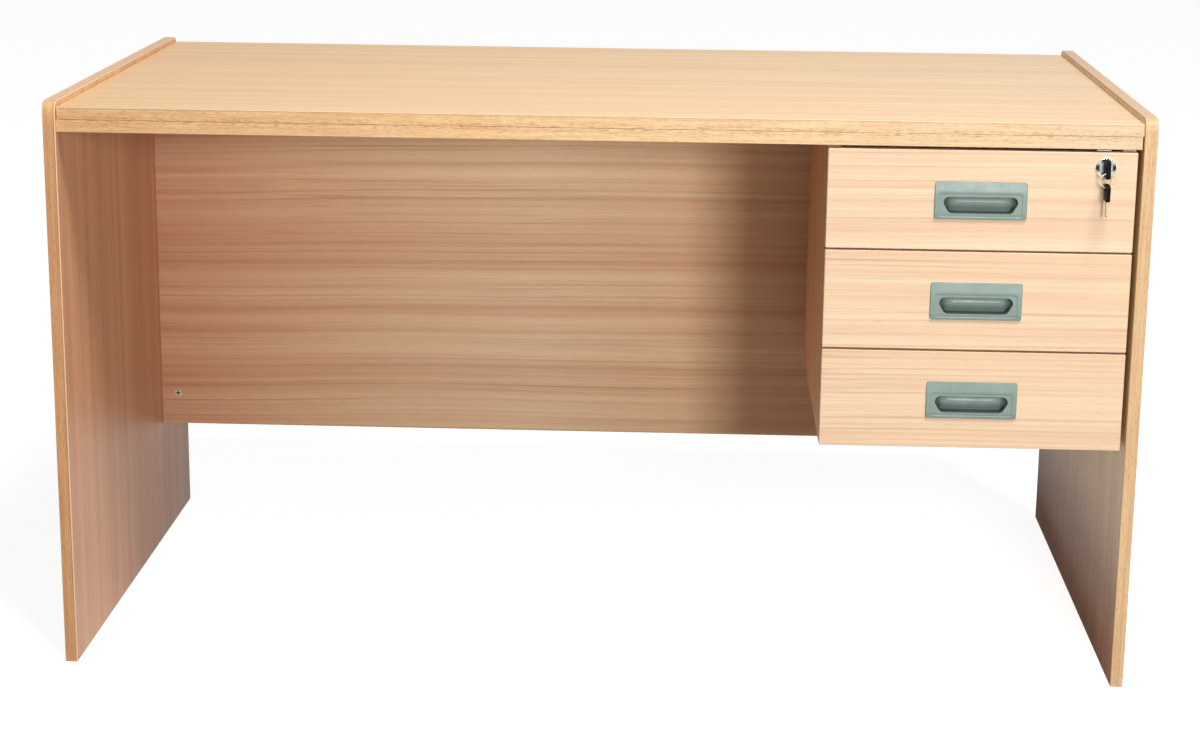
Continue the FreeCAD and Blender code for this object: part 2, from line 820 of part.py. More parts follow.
def make_ball_cages(index, drawer):
    """The strips of balls that run between the two members of each slide."""
    solids = []
    ball_z = (slide_height / 2 - slide_steel + inner_slide_height / 2) / 2
    start = slide_front + cage_front_distance
    pitch = cage_length / balls_per_strip
    for face_x, way in ((pedestal_inner_left, 1), (pedestal_inner_right, -1)):
        x = face_x + way * ball_offset
        for up in (1, -1):
            z = slide_middle(index) + up * ball_z
            strip = block(
                x - cage_width / 2, x + cage_width / 2, start, start + cage_length,
                z - cage_thickness / 2, z + cage_thickness / 2,
            )
            for count in range(balls_per_strip):
                y = start + pitch * (count + 1 / 2)
                low = Vector(x, y, z - cage_thickness)
                strip = strip.cut(rod(low, Z_AXIS, ball_radius + cage_play, 2 * cage_thickness))
                solids.append(Part.makeSphere(ball_radius, Vector(x, y, z)))
            solids.append(strip)
    keep(drawer + "_ball_cages", solids)


# Lock and keys

def lock_point(dx, y, dz):
    """A point placed from the lock's axis."""
    return Vector(lock_x + dx, y, lock_z + dz)


def make_lock():
    """The lock in the top drawer's front. Returns what it cuts out of the front."""
    face = front_face - bezel_proud
    bezel = rod(lock_point(0, face, 0), Y_AXIS, bezel_radius, bezel_proud)
    rim = [edge for edge in bezel.Edges if edge.BoundBox.YMax < face + bezel_round]
    bezel = bezel.makeFillet(bezel_round, rim)
    barrel = rod(lock_point(0, front_face, 0), Y_AXIS, barrel_radius, board)
    half = lock_box_width / 2
    case = block(
        lock_x - half, lock_x + half, front_back, front_back + lock_box_depth,
        lock_z - lock_box_below, lock_z + lock_box_above,
    )
    channel_front = front_back + lock_box_wall
    channel_depth = bolt_thickness + 2 * bolt_play
    bolt_half = bolt_width / 2
    bore_length = channel_front - face + overrun
    bore = rod(lock_point(0, face - overrun, 0), Y_AXIS, plug_radius + plug_play, bore_length)
    guide = block(
        lock_x - bolt_half - bolt_play, lock_x + bolt_half + bolt_play,
        channel_front, channel_front + channel_depth,
        lock_z - bolt_foot - bolt_play, lock_z + lock_box_above + overrun,
    )
    housing = bezel.fuse(barrel).fuse(case).cut([bore, guide]).removeSplitter()

    plug_front = face + plug_face_setback
    plug = rod(lock_point(0, plug_front, 0), Y_AXIS, plug_radius, channel_front - plug_play - plug_front)
    keyway_half = blade_thickness / 2 + keyway_play
    keyway = block(
        lock_x - keyway_half, lock_x + keyway_half, plug_front - overrun,
        bow_back + blade_length + keyway_play,
        lock_z - blade_height / 2 - keyway_play, lock_z + blade_height / 2 + keyway_play,
    )
    angle = math.radians(drive_angle)
    pin_x, pin_z = -drive_pin_circle * math.cos(angle), -drive_pin_circle * math.sin(angle)
    pin_start = lock_point(pin_x, channel_front - plug_play * 2, pin_z)
    pin = rod(pin_start, Y_AXIS, drive_pin_radius, bolt_thickness)
    plug = plug.cut(keyway).fuse(pin).removeSplitter()

    bolt_front = channel_front + bolt_play
    bolt = block(
        lock_x - bolt_half, lock_x + bolt_half, bolt_front, bolt_front + bolt_thickness,
        lock_z - bolt_foot, lock_z + bolt_top,
    )
    room = drive_pin_radius + drive_pin_play
    slot = block(
        lock_x - drive_pin_circle - room, lock_x + pin_x + room,
        channel_front - overrun, channel_front + channel_depth + overrun,
        lock_z + pin_z - room, lock_z + pin_z + room,
    )
    keep("lock_housing", housing)
    keep("lock_plug", plug)
    keep("lock_bolt", bolt.cut(slot))
    hole_start = lock_point(0, front_face - overrun, 0)
    return [rod(hole_start, Y_AXIS, barrel_radius + barrel_play, board + 2 * overrun)]


def key_blade():
    """A key's blade, pointing along +Y from the bow's end at the origin, flat in the plane x = 0."""
    half = blade_height / 2
    outline = [(-tang_length, -half), (blade_length - blade_tip, -half), (blade_length, 0)]
    outline += [(blade_length - blade_tip, half)]
    for distance in reversed(blade_notch_distances):
        outline += [
            (distance + blade_notch, half), (distance, half - blade_notch), (distance - blade_notch, half),
        ]
    outline += [(-tang_length, half)]
    points = [Vector(-blade_thickness / 2, y, z) for y, z in outline]
    return plate(points, X_AXIS * blade_thickness)


def key_bow():
    """A key's moulded bow behind the origin, with a slot across its far end for the ring."""
    half_w, half_t = bow_width / 2, bow_thickness / 2
    corners = [
        Vector(-half_t, -bow_length, half_w), Vector(-half_t, 0, half_w),
        Vector(-half_t, 0, -half_w), Vector(-half_t, -bow_length, -half_w),
    ]
    radii = [bow_outer_corner, bow_inner_corner, bow_inner_corner, bow_outer_corner]
    bow = plate(rounded_wire(corners, radii), X_AXIS * bow_thickness)
    rims = [edge for edge in bow.Edges if edge.BoundBox.XLength < bow_round]
    bow = bow.makeFillet(bow_round, rims)
    reach = half_t + overrun
    ends = bow_slot_half_length - bow_slot_radius
    slot = block(
        -reach, reach,
        -bow_slot_distance - bow_slot_radius, -bow_slot_distance + bow_slot_radius, -ends, ends,
    )
    for z in (-ends, ends):
        slot = slot.fuse(rod(Vector(-reach, -bow_slot_distance, z), X_AXIS, bow_slot_radius, 2 * reach))
    half_b, half_h = blade_thickness / 2, blade_height / 2
    pocket = block(-half_b, half_b, -tang_length, overrun, -half_h, half_h)
    return bow.cut([slot, pocket])


def placed(shape, turn, point):
    """A copy of a shape turned about X through the origin and moved to a point."""
    copy = shape.copy()
    copy.rotate(Vector(0, 0, 0), X_AXIS, turn)
    copy.translate(point)
    return copy


def make_keys():
    """The key in the lock, the ring through its bow, and the spare key that hangs from the ring."""
    start = Vector(lock_x, bow_back, lock_z)
    keep("key_blade", placed(key_blade(), 0, start))
    keep("key_bow", placed(key_bow(), 0, start))
    ring_centre = Vector(lock_x, bow_back - bow_slot_distance, ring_centre_z)
    keep("key_ring", Part.makeTorus(ring_radius, ring_wire, ring_centre, Y_AXIS))
    spare_slot_top = ring_centre - Z_AXIS * ring_rise
    spare_start = spare_slot_top - Z_AXIS * (bow_slot_radius + bow_slot_distance)
    keep("spare_key_blade", placed(key_blade(), -QUARTER_TURN, spare_start))
    keep("spare_key_bow", placed(key_bow(), -QUARTER_TURN, spare_start))


def export():
    """Writes one STEP file for each sub-part."""
    os.makedirs("parts", exist_ok=True)
    for name, shape in parts.items():
        shape.exportStep(os.path.join("parts", name + ".step"))


pedestal_dowels = []
loose_screws = make_desk()
make_edge_bands()
make_pedestal(loose_screws)
front_holes = make_lock()
for number, title in enumerate(DRAWERS):
    make_drawer(number, title, front_holes if number == 0 else [])
make_keys()
export()
print(len(parts), "sub-parts")
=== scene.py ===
"""Computer desk: pale wood-print boards, grey-green pulls, a chrome lock and its keys, in a plain studio."""
import json
import math

import bmesh
import bpy
from mathutils import Matrix, Vector

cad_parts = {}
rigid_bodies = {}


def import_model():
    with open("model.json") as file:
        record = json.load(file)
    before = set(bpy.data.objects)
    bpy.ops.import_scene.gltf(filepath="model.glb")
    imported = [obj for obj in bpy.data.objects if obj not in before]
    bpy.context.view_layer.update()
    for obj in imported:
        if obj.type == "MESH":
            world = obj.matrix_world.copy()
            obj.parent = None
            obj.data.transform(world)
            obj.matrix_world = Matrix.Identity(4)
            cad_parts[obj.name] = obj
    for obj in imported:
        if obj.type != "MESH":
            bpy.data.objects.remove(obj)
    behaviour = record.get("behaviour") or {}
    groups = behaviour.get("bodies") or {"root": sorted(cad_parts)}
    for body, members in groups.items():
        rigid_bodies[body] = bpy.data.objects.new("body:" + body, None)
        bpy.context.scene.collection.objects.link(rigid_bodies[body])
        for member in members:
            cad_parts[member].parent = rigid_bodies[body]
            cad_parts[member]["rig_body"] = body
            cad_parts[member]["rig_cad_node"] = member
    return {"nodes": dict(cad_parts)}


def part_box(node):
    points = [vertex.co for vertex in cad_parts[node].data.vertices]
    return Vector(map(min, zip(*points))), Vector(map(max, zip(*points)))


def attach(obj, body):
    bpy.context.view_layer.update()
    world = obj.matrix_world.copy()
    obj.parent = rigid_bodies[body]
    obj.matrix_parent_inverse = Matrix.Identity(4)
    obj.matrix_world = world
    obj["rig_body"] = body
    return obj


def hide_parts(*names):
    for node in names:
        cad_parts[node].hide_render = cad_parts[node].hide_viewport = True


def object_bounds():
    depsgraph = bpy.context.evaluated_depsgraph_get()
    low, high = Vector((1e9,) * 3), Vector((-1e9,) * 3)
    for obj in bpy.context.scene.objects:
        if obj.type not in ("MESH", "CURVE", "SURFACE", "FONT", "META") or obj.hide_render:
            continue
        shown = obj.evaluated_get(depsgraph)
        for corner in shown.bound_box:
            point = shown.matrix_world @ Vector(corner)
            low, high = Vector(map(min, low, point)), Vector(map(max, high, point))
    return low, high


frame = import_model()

bl_info = {
    "name": "Computer desk",
    "version": (1, 0, 0),
    "blender": (4, 5, 0),
    "location": "3D View > Sidebar > Desk",
    "description": "Finishes the desk's boards, fittings, pulls and lock, and sets up the studio",
    "category": "Object",
}

MM = 0.001
CAD_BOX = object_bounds()
NODES = frame["nodes"]
DRAWERS = ("upper", "middle", "lower")
# A pull's form, in mm from the middle of its plate
PULL = {
    "proud": 2.2, "top_proud": 0.8, "corner": 3.2, "edge_round": 0.7,
    "panel_half": 52.0, "panel_top": 8.8, "panel_bottom": -20.8, "panel_corner": 4.0, "panel_step": 0.6,
    "recess_half": 46.5, "recess_bottom_half": 35.2, "recess_top": 4.6, "recess_bottom": -16.6,
    "recess_corner": 7.0,
    "lip_depth": 6.0, "cushion_rise": 2.4, "low_drop": 7.5, "deepest": 11.6,
    "ends_from": 28.0, "ends_length": 15.0, "ends_drop": 4.0,
}
# Solids that are made of triangles meet within this, in metres
TOUCH = 0.00002


# Colours and shader helpers

def linear(text):
    """An sRGB hex colour as linear red, green, blue and alpha."""
    parts = [int(text[i:i + 2], 16) / 255 for i in (1, 3, 5)]
    return tuple(p / 12.92 if p <= 0.04045 else ((p + 0.055) / 1.055) ** 2.4 for p in parts) + (1.0,)


def add(tree, kind, inputs=None, **settings):
    """Adds a node, sets its settings, and sets or links its inputs."""
    node = tree.nodes.new(kind)
    for key, value in settings.items():
        setattr(node, key, value)
    for key, value in (inputs or {}).items():
        if isinstance(value, bpy.types.NodeSocket):
            tree.links.new(value, node.inputs[key])
        else:
            node.inputs[key].default_value = value
    return node


def new_material(name, **values):
    """A material with its Principled shader, whose uniform values are set on the sockets."""
    material = bpy.data.materials.new(name)
    material.use_nodes = True
    tree = material.node_tree
    shader = tree.nodes["Principled BSDF"]
    for key, value in values.items():
        shader.inputs[key.replace("_", " ")].default_value = value
    return material, tree, shader


def ramp(tree, factor, stops):
    """A colour ramp with stops given as (place, colour)."""
    node = add(tree, "ShaderNodeValToRGB", {"Fac": factor})
    elements = node.color_ramp.elements
    while len(elements) < len(stops):
        elements.new(0.5)
    for element, (place, colour) in zip(elements, stops):
        element.position = place
        element.color = colour
    return node.outputs["Color"]


def grey(value):
    """A neutral colour for a mask."""
    return (value, value, value, 1.0)


def fade(tree, value, start, stop, high, low=0.0):
    """A mask that goes from low to high as a value goes from start to stop."""
    return ramp(tree, value, [(start, grey(low)), (stop, grey(high))])


def mix(tree, factor, first, second, blend="MIX"):
    """A colour mix of two colours or sockets."""
    node = add(tree, "ShaderNodeMix", {0: factor, 6: first, 7: second}, data_type="RGBA", blend_type=blend)
    return node.outputs[2]


def grain_vector(tree, along, shift, tilt, wander_mm):
    """Object coordinates that wander a little across the grain. along is the grain's axis, and tilt its slope
    in degrees."""
    place = add(tree, "ShaderNodeTexCoord").outputs["Object"]
    turn = [0.0, math.radians(tilt), 0.0] if along == 0 else [math.radians(tilt), 0.0, 0.0]
    laid = {"Vector": place, "Location": shift, "Rotation": turn}
    moved = add(tree, "ShaderNodeMapping", laid).outputs["Vector"]
    slow = [2.4, 2.4, 2.4]
    slow[along] = 1.5
    stretched = add(tree, "ShaderNodeMapping", {"Vector": moved, "Scale": slow}).outputs["Vector"]
    drift = add(tree, "ShaderNodeTexNoise", {
        "Vector": stretched, "Scale": 1.0, "Detail": 1.5, "Roughness": 0.4,
    }).outputs["Color"]
    middle = (0.5, 0.5, 0.5)
    centred = add(tree, "ShaderNodeVectorMath", {0: drift, 1: middle}, operation="SUBTRACT").outputs[0]
    reach = [wander_mm * MM] * 3
    reach[along] = 0.0
    scaled = add(tree, "ShaderNodeVectorMath", {0: centred, 1: reach}, operation="MULTIPLY").outputs[0]
    return add(tree, "ShaderNodeVectorMath", {0: moved, 1: scaled}, operation="ADD").outputs[0]


def strands(tree, vector, along, width_mm, length_mm, detail=2.0, roughness=0.5):
    """Noise drawn out along the grain: streaks of about the given width and length."""
    scale = [1 / (width_mm * MM)] * 3
    scale[along] = 1 / (length_mm * MM)
    drawn = add(tree, "ShaderNodeMapping", {"Vector": vector, "Scale": scale}).outputs["Vector"]
    return add(tree, "ShaderNodeTexNoise", {
        "Vector": drawn, "Scale": 1.0, "Detail": detail, "Roughness": roughness,
    }).outputs["Fac"]


def coordinate(tree, axis):
    """The object coordinate along one axis."""
    place = add(tree, "ShaderNodeTexCoord").outputs["Object"]
    return add(tree, "ShaderNodeSeparateXYZ", {"Vector": place}).outputs[axis]


def near_plane(tree, axis, place, half_mm, soft_mm=0.15):
    """A mask that is 1 within half_mm of a plane square to an axis, such as a glue line."""
    away = add(tree, "ShaderNodeMath", {0: coordinate(tree, axis), 1: place}, operation="SUBTRACT").outputs[0]
    away = add(tree, "ShaderNodeMath", {0: away}, operation="ABSOLUTE").outputs[0]
    return add(tree, "ShaderNodeMapRange", {
        "Value": away, "From Min": half_mm * MM, "From Max": (half_mm + soft_mm) * MM,
        "To Min": 1.0, "To Max": 0.0,
    }).outputs[0]


def across(tree, axis, start, stop):
    """Goes from 0 to 1 between two places along an axis."""
    ends = {"Value": coordinate(tree, axis), "From Min": start, "From Max": stop}
    return add(tree, "ShaderNodeMapRange", ends).outputs[0]


def ground_tones(tree, tones, drift):
    """Ground, warm band and line colours. drift, as (axis, start, stop, hex colours), lets the ground change
    along the board, and the other two follow it."""
    pale, warm, line = (linear(tone) for tone in tones)
    if not drift:
        return pale, warm, line
    axis, start, stop, colours = drift
    places = [(i / (len(colours) - 1), linear(colour)) for i, colour in enumerate(colours)]
    ground = ramp(tree, across(tree, axis, start, stop), places)
    followers = [tuple(b / a for a, b in zip(pale, other)) for other in (warm, line)]
    return ground, *(mix(tree, 1.0, ground, follower, "MULTIPLY") for follower in followers)


# Materials

def melamine_board(name, along, tones, shift, strength=1.0, pitch=12.0, **options):
    """Melamine-faced chipboard: paper printed with straight wood grain under satin resin. The eye sees soft
    bands, growth lines that run the board's length at about the given pitch in mm, fibres, short pores and a
    low sheen. tones are the hex colours of the pale ground, the warm bands and the lines.

    Options: gloss; tilt in degrees; wander_mm, how far the grain strays; glue, a dark joint line as (axis,
    place, half width); drift, the ground's change along the board, which is painted light and shade; and
    inner, the other face, as (axis, place, tones, drift, (sheen at the drift's start, at its end)), whose own
    tones are painted shade and light."""
    gloss = options.get("gloss", 0.3)
    material, tree, shader = new_material(name, Roughness=0.42, Specular_IOR_Level=gloss)
    pale, warm, line = ground_tones(tree, tones, options.get("drift"))
    if "inner" in options:
        # The inner face takes its own tones, which paint its shade and light
        axis, place, inner_tones, drift, (dull, bright) = options["inner"]
        facing = near_plane(tree, axis, place, 0.2)
        inside = ground_tones(tree, inner_tones, drift)
        pale, warm, line = (mix(tree, facing, a, b) for a, b in zip((pale, warm, line), inside))
        share = across(tree, *drift[:3])
        share = add(tree, "ShaderNodeMath", {0: share, 1: 2.0}, operation="POWER").outputs[0]
        rise = {0: share, 1: bright - dull, 2: dull}
        sheen = add(tree, "ShaderNodeMath", rise, operation="MULTIPLY_ADD").outputs[0]
        level = add(tree, "ShaderNodeMix", {0: facing, 2: gloss, 3: sheen}, data_type="FLOAT")
        tree.links.new(level.outputs[0], shader.inputs["Specular IOR Level"])
    vector = grain_vector(tree, along, shift, options.get("tilt", 0.0), options.get("wander_mm", 14.0))
    bands = strands(tree, vector, along, 24.0, 3800.0)
    fibres = strands(tree, vector, along, 2.4, 620.0, 2.5)
    streaks = strands(tree, vector, along, 5.5, 1700.0)
    patches = strands(tree, vector, along, 45.0, 330.0)
    pores = strands(tree, vector, along, 0.8, 26.0, 2.0, 0.6)
    linen = strands(tree, vector, along, 1.5, 3.2, 1.0)
    sway = strands(tree, vector, along, 5.0 * pitch, 5200.0, 1.0, 0.4)
    cross = [1.0, 1.0, 1.0]
    cross[along] = 0.0
    height = add(tree, "ShaderNodeVectorMath", {0: vector, 1: cross}, operation="DOT_PRODUCT")
    bent = add(tree, "ShaderNodeMath", {0: sway, 1: 1.9 * pitch * MM}, operation="MULTIPLY").outputs[0]
    place = add(tree, "ShaderNodeMath", {0: height.outputs["Value"], 1: bent}, operation="ADD").outputs[0]
    count = add(tree, "ShaderNodeMath", {0: place, 1: pitch * MM}, operation="DIVIDE").outputs[0]
    ring = add(tree, "ShaderNodeMath", {0: count}, operation="FRACT").outputs[0]
    number = add(tree, "ShaderNodeMath", {0: count}, operation="FLOOR").outputs[0]
    weight = add(tree, "ShaderNodeTexWhiteNoise", {"W": number}, noise_dimensions="1D").outputs["Value"]
    base = mix(tree, fade(tree, bands, 0.32, 0.68, 1.0), pale, warm)
    light = fade(tree, streaks, 0.28, 0.46, 0.0, 0.22 * strength)
    base = mix(tree, light, base, grey(0.86), "SOFT_LIGHT")
    base = mix(tree, fade(tree, streaks, 0.52, 0.76, 0.3 * strength), base, line)
    late = ramp(tree, ring, [
        (0.0, grey(0.1)), (0.45, grey(0.0)), (0.78, grey(0.3)),
        (0.9, grey(0.75)), (0.95, grey(0.6)), (1.0, grey(0.1)),
    ])
    drawn = fade(tree, weight, 0.2, 1.0, 0.8 * strength, 0.08 * strength)
    gate = fade(tree, patches, 0.32, 0.66, 1.0, 0.3)
    growth = mix(tree, 1.0, mix(tree, 1.0, late, drawn, "MULTIPLY"), gate, "MULTIPLY")
    base = mix(tree, growth, base, line)
    thread = fade(tree, fibres, 0.5, 0.74, 0.34 * strength)
    base = mix(tree, mix(tree, 1.0, thread, gate, "MULTIPLY"), base, line)
    base = mix(tree, fade(tree, pores, 0.52, 0.75, 0.2 * strength), base, line)
    base = mix(tree, fade(tree, linen, 0.4, 0.7, 0.07), base, line)
    if "glue" in options:
        base = mix(tree, near_plane(tree, *options["glue"]), base, linear("#A87C56"))
    tree.links.new(base, shader.inputs["Base Color"])
    tree.links.new(fade(tree, pores, 0.3, 0.8, 0.5, 0.38), shader.inputs["Roughness"])
    bump = add(tree, "ShaderNodeBump", {"Height": pores, "Strength": 0.12, "Distance": 0.0001})
    tree.links.new(bump.outputs["Normal"], shader.inputs["Normal"])
    return material


def printed_band(name, along, tones, shift, glue=None, drift=None, arris=None):
    """PVC edge band with a wood print: a little yellower and glossier than the boards, with short broken
    flecks that crowd along a glued joint under it. arris, as (axis, place, half width), is an edge painted
    pale as a highlight on its rounding, with a fine dark line beside it; drift paints light and shade along
    the band."""
    material, tree, shader = new_material(name, Roughness=0.4, Specular_IOR_Level=0.25)
    pale, warm, line = ground_tones(tree, tones, drift)
    vector = grain_vector(tree, along, shift, 0.0, 1.0)
    soft = strands(tree, vector, along, 4.0, 90.0)
    flecks = strands(tree, vector, along, 0.8, 9.0, 1.5)
    streaks = strands(tree, vector, along, 1.3, 260.0)
    base = mix(tree, fade(tree, soft, 0.35, 0.66, 0.8), pale, warm)
    base = mix(tree, fade(tree, streaks, 0.5, 0.72, 0.24), base, line)
    base = mix(tree, fade(tree, flecks, 0.53, 0.66, 0.36), base, line)
    if glue:
        axis, place, half_mm = glue
        beside = near_plane(tree, axis, place, 1.0, 6.0)
        crowd = mix(tree, 1.0, beside, fade(tree, flecks, 0.5, 0.62, 0.5), "MULTIPLY")
        base = mix(tree, crowd, base, line)
        dashes = fade(tree, strands(tree, vector, along, 4.0, 60.0), 0.36, 0.56, 0.75, 0.3)
        seam = mix(tree, 1.0, near_plane(tree, axis, place, half_mm), dashes, "MULTIPLY")
        base = mix(tree, seam, base, linear("#7A5437"))
    if arris:
        # Painted highlight: the arris is painted pale, as if light caught its rounding, with a fine dark line
        # beside it
        axis, place, half_mm = arris
        beside = mix(tree, 1.0, near_plane(tree, axis, place, 2.1 * half_mm), grey(0.45), "MULTIPLY")
        base = mix(tree, beside, base, line)
        edge_light = mix(tree, 1.0, near_plane(tree, axis, place, half_mm), grey(0.7), "MULTIPLY")
        base = mix(tree, edge_light, base, linear("#FFE3BE"))
    tree.links.new(base, shader.inputs["Base Color"])
    bump = add(tree, "ShaderNodeBump", {"Height": flecks, "Strength": 0.15, "Distance": 0.0001})
    tree.links.new(bump.outputs["Normal"], shader.inputs["Normal"])
    return material


def moulded_plastic(name, colour, dark, grain_mm, roughness, gloss, painted_shade=None):
    """Injection-moulded ABS with a fine spark-eroded texture: an even colour that clouds slightly, satin.
    Its last argument, if given, is the hex colour of painted shade, laid where the mesh's attribute of that
    name is high."""
    material, tree, shader = new_material(name, Roughness=roughness, Specular_IOR_Level=gloss)
    place = add(tree, "ShaderNodeTexCoord").outputs["Object"]
    cloud = add(tree, "ShaderNodeTexNoise", {
        "Vector": place, "Scale": 60.0, "Detail": 3.0, "Roughness": 0.6,
    }).outputs["Fac"]
    base = mix(tree, fade(tree, cloud, 0.35, 0.75, 1.0), linear(colour), linear(dark))
    # Painted shade: the plastic darkens where the mesh's attribute says shade falls
    if painted_shade:
        shade_amount = add(tree, "ShaderNodeAttribute", attribute_name="painted_shade").outputs["Fac"]
        base = mix(tree, shade_amount, base, linear(painted_shade))
    tree.links.new(base, shader.inputs["Base Color"])
    skin = add(tree, "ShaderNodeTexNoise", {"Vector": place, "Scale": 1 / (grain_mm * MM), "Detail": 2.0})
    bump = add(tree, "ShaderNodeBump", {"Height": skin.outputs["Fac"], "Strength": 0.2, "Distance": 0.00008})
    tree.links.new(bump.outputs["Normal"], shader.inputs["Normal"])
    rough = fade(tree, cloud, 0.3, 0.8, roughness + 0.08, roughness - 0.05)
    tree.links.new(rough, shader.inputs["Roughness"])
    return material


def plated_metal(name, colour, dull, roughness, brush_mm=(0.4, 6.0), along=1, painted_flanks=None, slots=()):
    """Plated steel or zinc: bright, with faint drawing lines and a slightly clouded gloss. The flanks, as
    (centre x, centre z, from, to, hex colour), are a painted reflection: a round part's two sides painted
    dark between those distances, near the centre's height. The slots, as (axis, place, half width), are the
    depths of driver slots, painted dark as their shade."""
    material, tree, shader = new_material(name, Metallic=1.0, Roughness=roughness)
    place = add(tree, "ShaderNodeTexCoord").outputs["Object"]
    drawn = strands(tree, place, along, *brush_mm)
    base = mix(tree, fade(tree, drawn, 0.35, 0.7, 1.0), linear(colour), linear(dull))
    # Painted reflection: a round part's two sides are painted dark near its centre's height
    if painted_flanks:
        centre_x, centre_z, start, stop, reflection_dark = painted_flanks
        aside = {0: coordinate(tree, 0), 1: centre_x}
        aside = add(tree, "ShaderNodeMath", aside, operation="SUBTRACT").outputs[0]
        aside = add(tree, "ShaderNodeMath", {0: aside}, operation="ABSOLUTE").outputs[0]
        ends = {"Value": aside, "From Min": start, "From Max": stop}
        sides = add(tree, "ShaderNodeMapRange", ends).outputs[0]
        level = near_plane(tree, 2, centre_z, 2.0, 4.0)
        base = mix(tree, mix(tree, 1.0, sides, level, "MULTIPLY"), base, linear(reflection_dark))
    # Painted shade: the depths of driver slots are painted dark
    for axis, middle, half_mm in slots:
        base = mix(tree, near_plane(tree, axis, middle, half_mm, 0.1), base, linear("#2E2A1A"))
    tree.links.new(base, shader.inputs["Base Color"])
    rough = fade(tree, drawn, 0.3, 0.75, roughness + 0.07, max(roughness - 0.04, 0.02))
    tree.links.new(rough, shader.inputs["Roughness"])
    return material


# Mesh helpers

def piece_from(mesh_maker, name, body, material, node):
    """Makes an object with its mesh in place, on its body, with its material, for a CAD node."""
    mesh = bpy.data.meshes.new(name)
    shape = bmesh.new()
    mesh_maker(shape)
    shape.to_mesh(mesh)
    shape.free()
    item = bpy.data.objects.new(name, mesh)
    bpy.context.scene.collection.objects.link(item)
    mesh.materials.append(material)
    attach(item, body)
    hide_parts(node)


def dress(node, material):
    """Gives a CAD node its material."""
    slots = NODES[node].data.materials
    slots.clear()
    slots.append(material)


def rounded_copy(node, name, body, radius, face_material, edge_material, face_axis):
    """Makes a board with rounded arrises from a merged copy of its CAD node, its faces and edges finished
    apart."""
    item = NODES[node].copy()
    item.data = NODES[node].data.copy()
    item.name = name
    item.data.name = name
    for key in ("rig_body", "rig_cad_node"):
        if key in item:
            del item[key]
    bpy.context.scene.collection.objects.link(item)
    shape = bmesh.new()
    shape.from_mesh(item.data)
    bmesh.ops.remove_doubles(shape, verts=shape.verts, dist=0.00001)
    bmesh.ops.dissolve_limit(shape, angle_limit=math.radians(1.0), verts=shape.verts, edges=shape.edges)
    low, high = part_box(node)
    sharp = []
    for edge in shape.edges:
        ends = [v.co for v in edge.verts]
        outer = 0
        for axis in range(3):
            for side in (low[axis], high[axis]):
                if all(abs(end[axis] - side) < TOUCH for end in ends):
                    outer += 1
        if outer == 2:
            sharp.append(edge)
    bmesh.ops.bevel(shape, geom=sharp, offset=radius, segments=3, profile=0.5, affect="EDGES")
    for face in shape.faces:
        face.smooth = False
        face.material_index = 0 if abs(face.normal[face_axis]) > 0.99 else 1
    shape.to_mesh(item.data)
    shape.free()
    item.data.materials.clear()
    item.data.materials.append(face_material)
    item.data.materials.append(edge_material)
    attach(item, body)
    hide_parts(node)


def soft_step(value):
    """Goes smoothly from 0 to 1 as the value does."""
    value = min(max(value, 0.0), 1.0)
    return value * value * (3 - 2 * value)


def rounded_box_inset(x, z, half_x, half_z, radius):
    """Distance from a place to the outline of a rounded rectangle, positive inside."""
    over_x, over_z = abs(x) - half_x + radius, abs(z) - half_z + radius
    outside = math.hypot(max(over_x, 0.0), max(over_z, 0.0))
    return radius - outside - min(max(over_x, over_z), 0.0)


def down_recess(z):
    """How far down a pull's recess a height lies, from 0 at its top to 1 at its bottom."""
    return (PULL["recess_top"] - z) / (PULL["recess_top"] - PULL["recess_bottom"])


def recess_inset(x, z):
    """Distance to a pull's recess outline, positive inside: an even offset of a small upright trapezium."""
    radius = PULL["recess_corner"]
    top = (PULL["recess_half"] - radius, PULL["recess_top"] - radius)
    low = (PULL["recess_bottom_half"], PULL["recess_bottom"] + radius)
    side = (top[0] - low[0], top[1] - low[1])
    length = math.hypot(*side)
    out = (side[1] / length, -side[0] / length)
    x = abs(x)
    past_side = (x - low[0]) * out[0] + (z - low[1]) * out[1]
    past_top, past_low = z - top[1], low[1] - z
    if past_side <= 0 and past_top <= 0 and past_low <= 0:
        return radius - max(past_side, past_top, past_low)
    best = math.inf
    for ax, az, bx, bz in ((*low, *top), (*top, 0.0, top[1]), (*low, 0.0, low[1])):
        run = (bx - ax, bz - az)
        share = ((x - ax) * run[0] + (z - az) * run[1]) / (run[0] ** 2 + run[1] ** 2)
        share = min(max(share, 0.0), 1.0)
        best = min(best, math.hypot(x - ax - run[0] * share, z - az - run[1] * share))
    return radius - best


# Settings

def hex_colour(name, description, default):
    """A setting that holds an sRGB hex colour."""
    return bpy.props.StringProperty(name=name, description=description, default=default)


class DeskFinish(bpy.types.PropertyGroup):
    """Colours of the desk's finishes"""
    board_pale: hex_colour("Board, pale", "Pale ground of the print", "#F0D5B3")
    board_warm: hex_colour("Board, warm", "Warmer bands", "#EBC6A1")
    board_line: hex_colour("Board, line", "Grain lines", "#BC8B70")
    # The modesty panel's colours are the board's made darker and redder: painted shade for the knee space
    inner_pale: hex_colour("Inner, pale", "Ground of the modesty panel", "#F1CFA6")
    inner_warm: hex_colour("Inner, warm", "Its warmer bands", "#E2B48D")
    inner_line: hex_colour("Inner, line", "Its grain lines", "#A26C4E")
    band_pale: hex_colour("Band, pale", "Edge band's ground", "#E1BD91")
    band_warm: hex_colour("Band, warm", "Edge band's warm flecks", "#D6A87B")
    band_line: hex_colour("Band, line", "Edge band's dark flecks", "#9A6A46")
    pull: hex_colour("Pull", "Grey-green plastic", "#87988F")
    pull_dark: hex_colour("Pull, dark", "Clouding of the plastic", "#7B8E85")
    bow: hex_colour("Key bow", "Black plastic", "#060607")


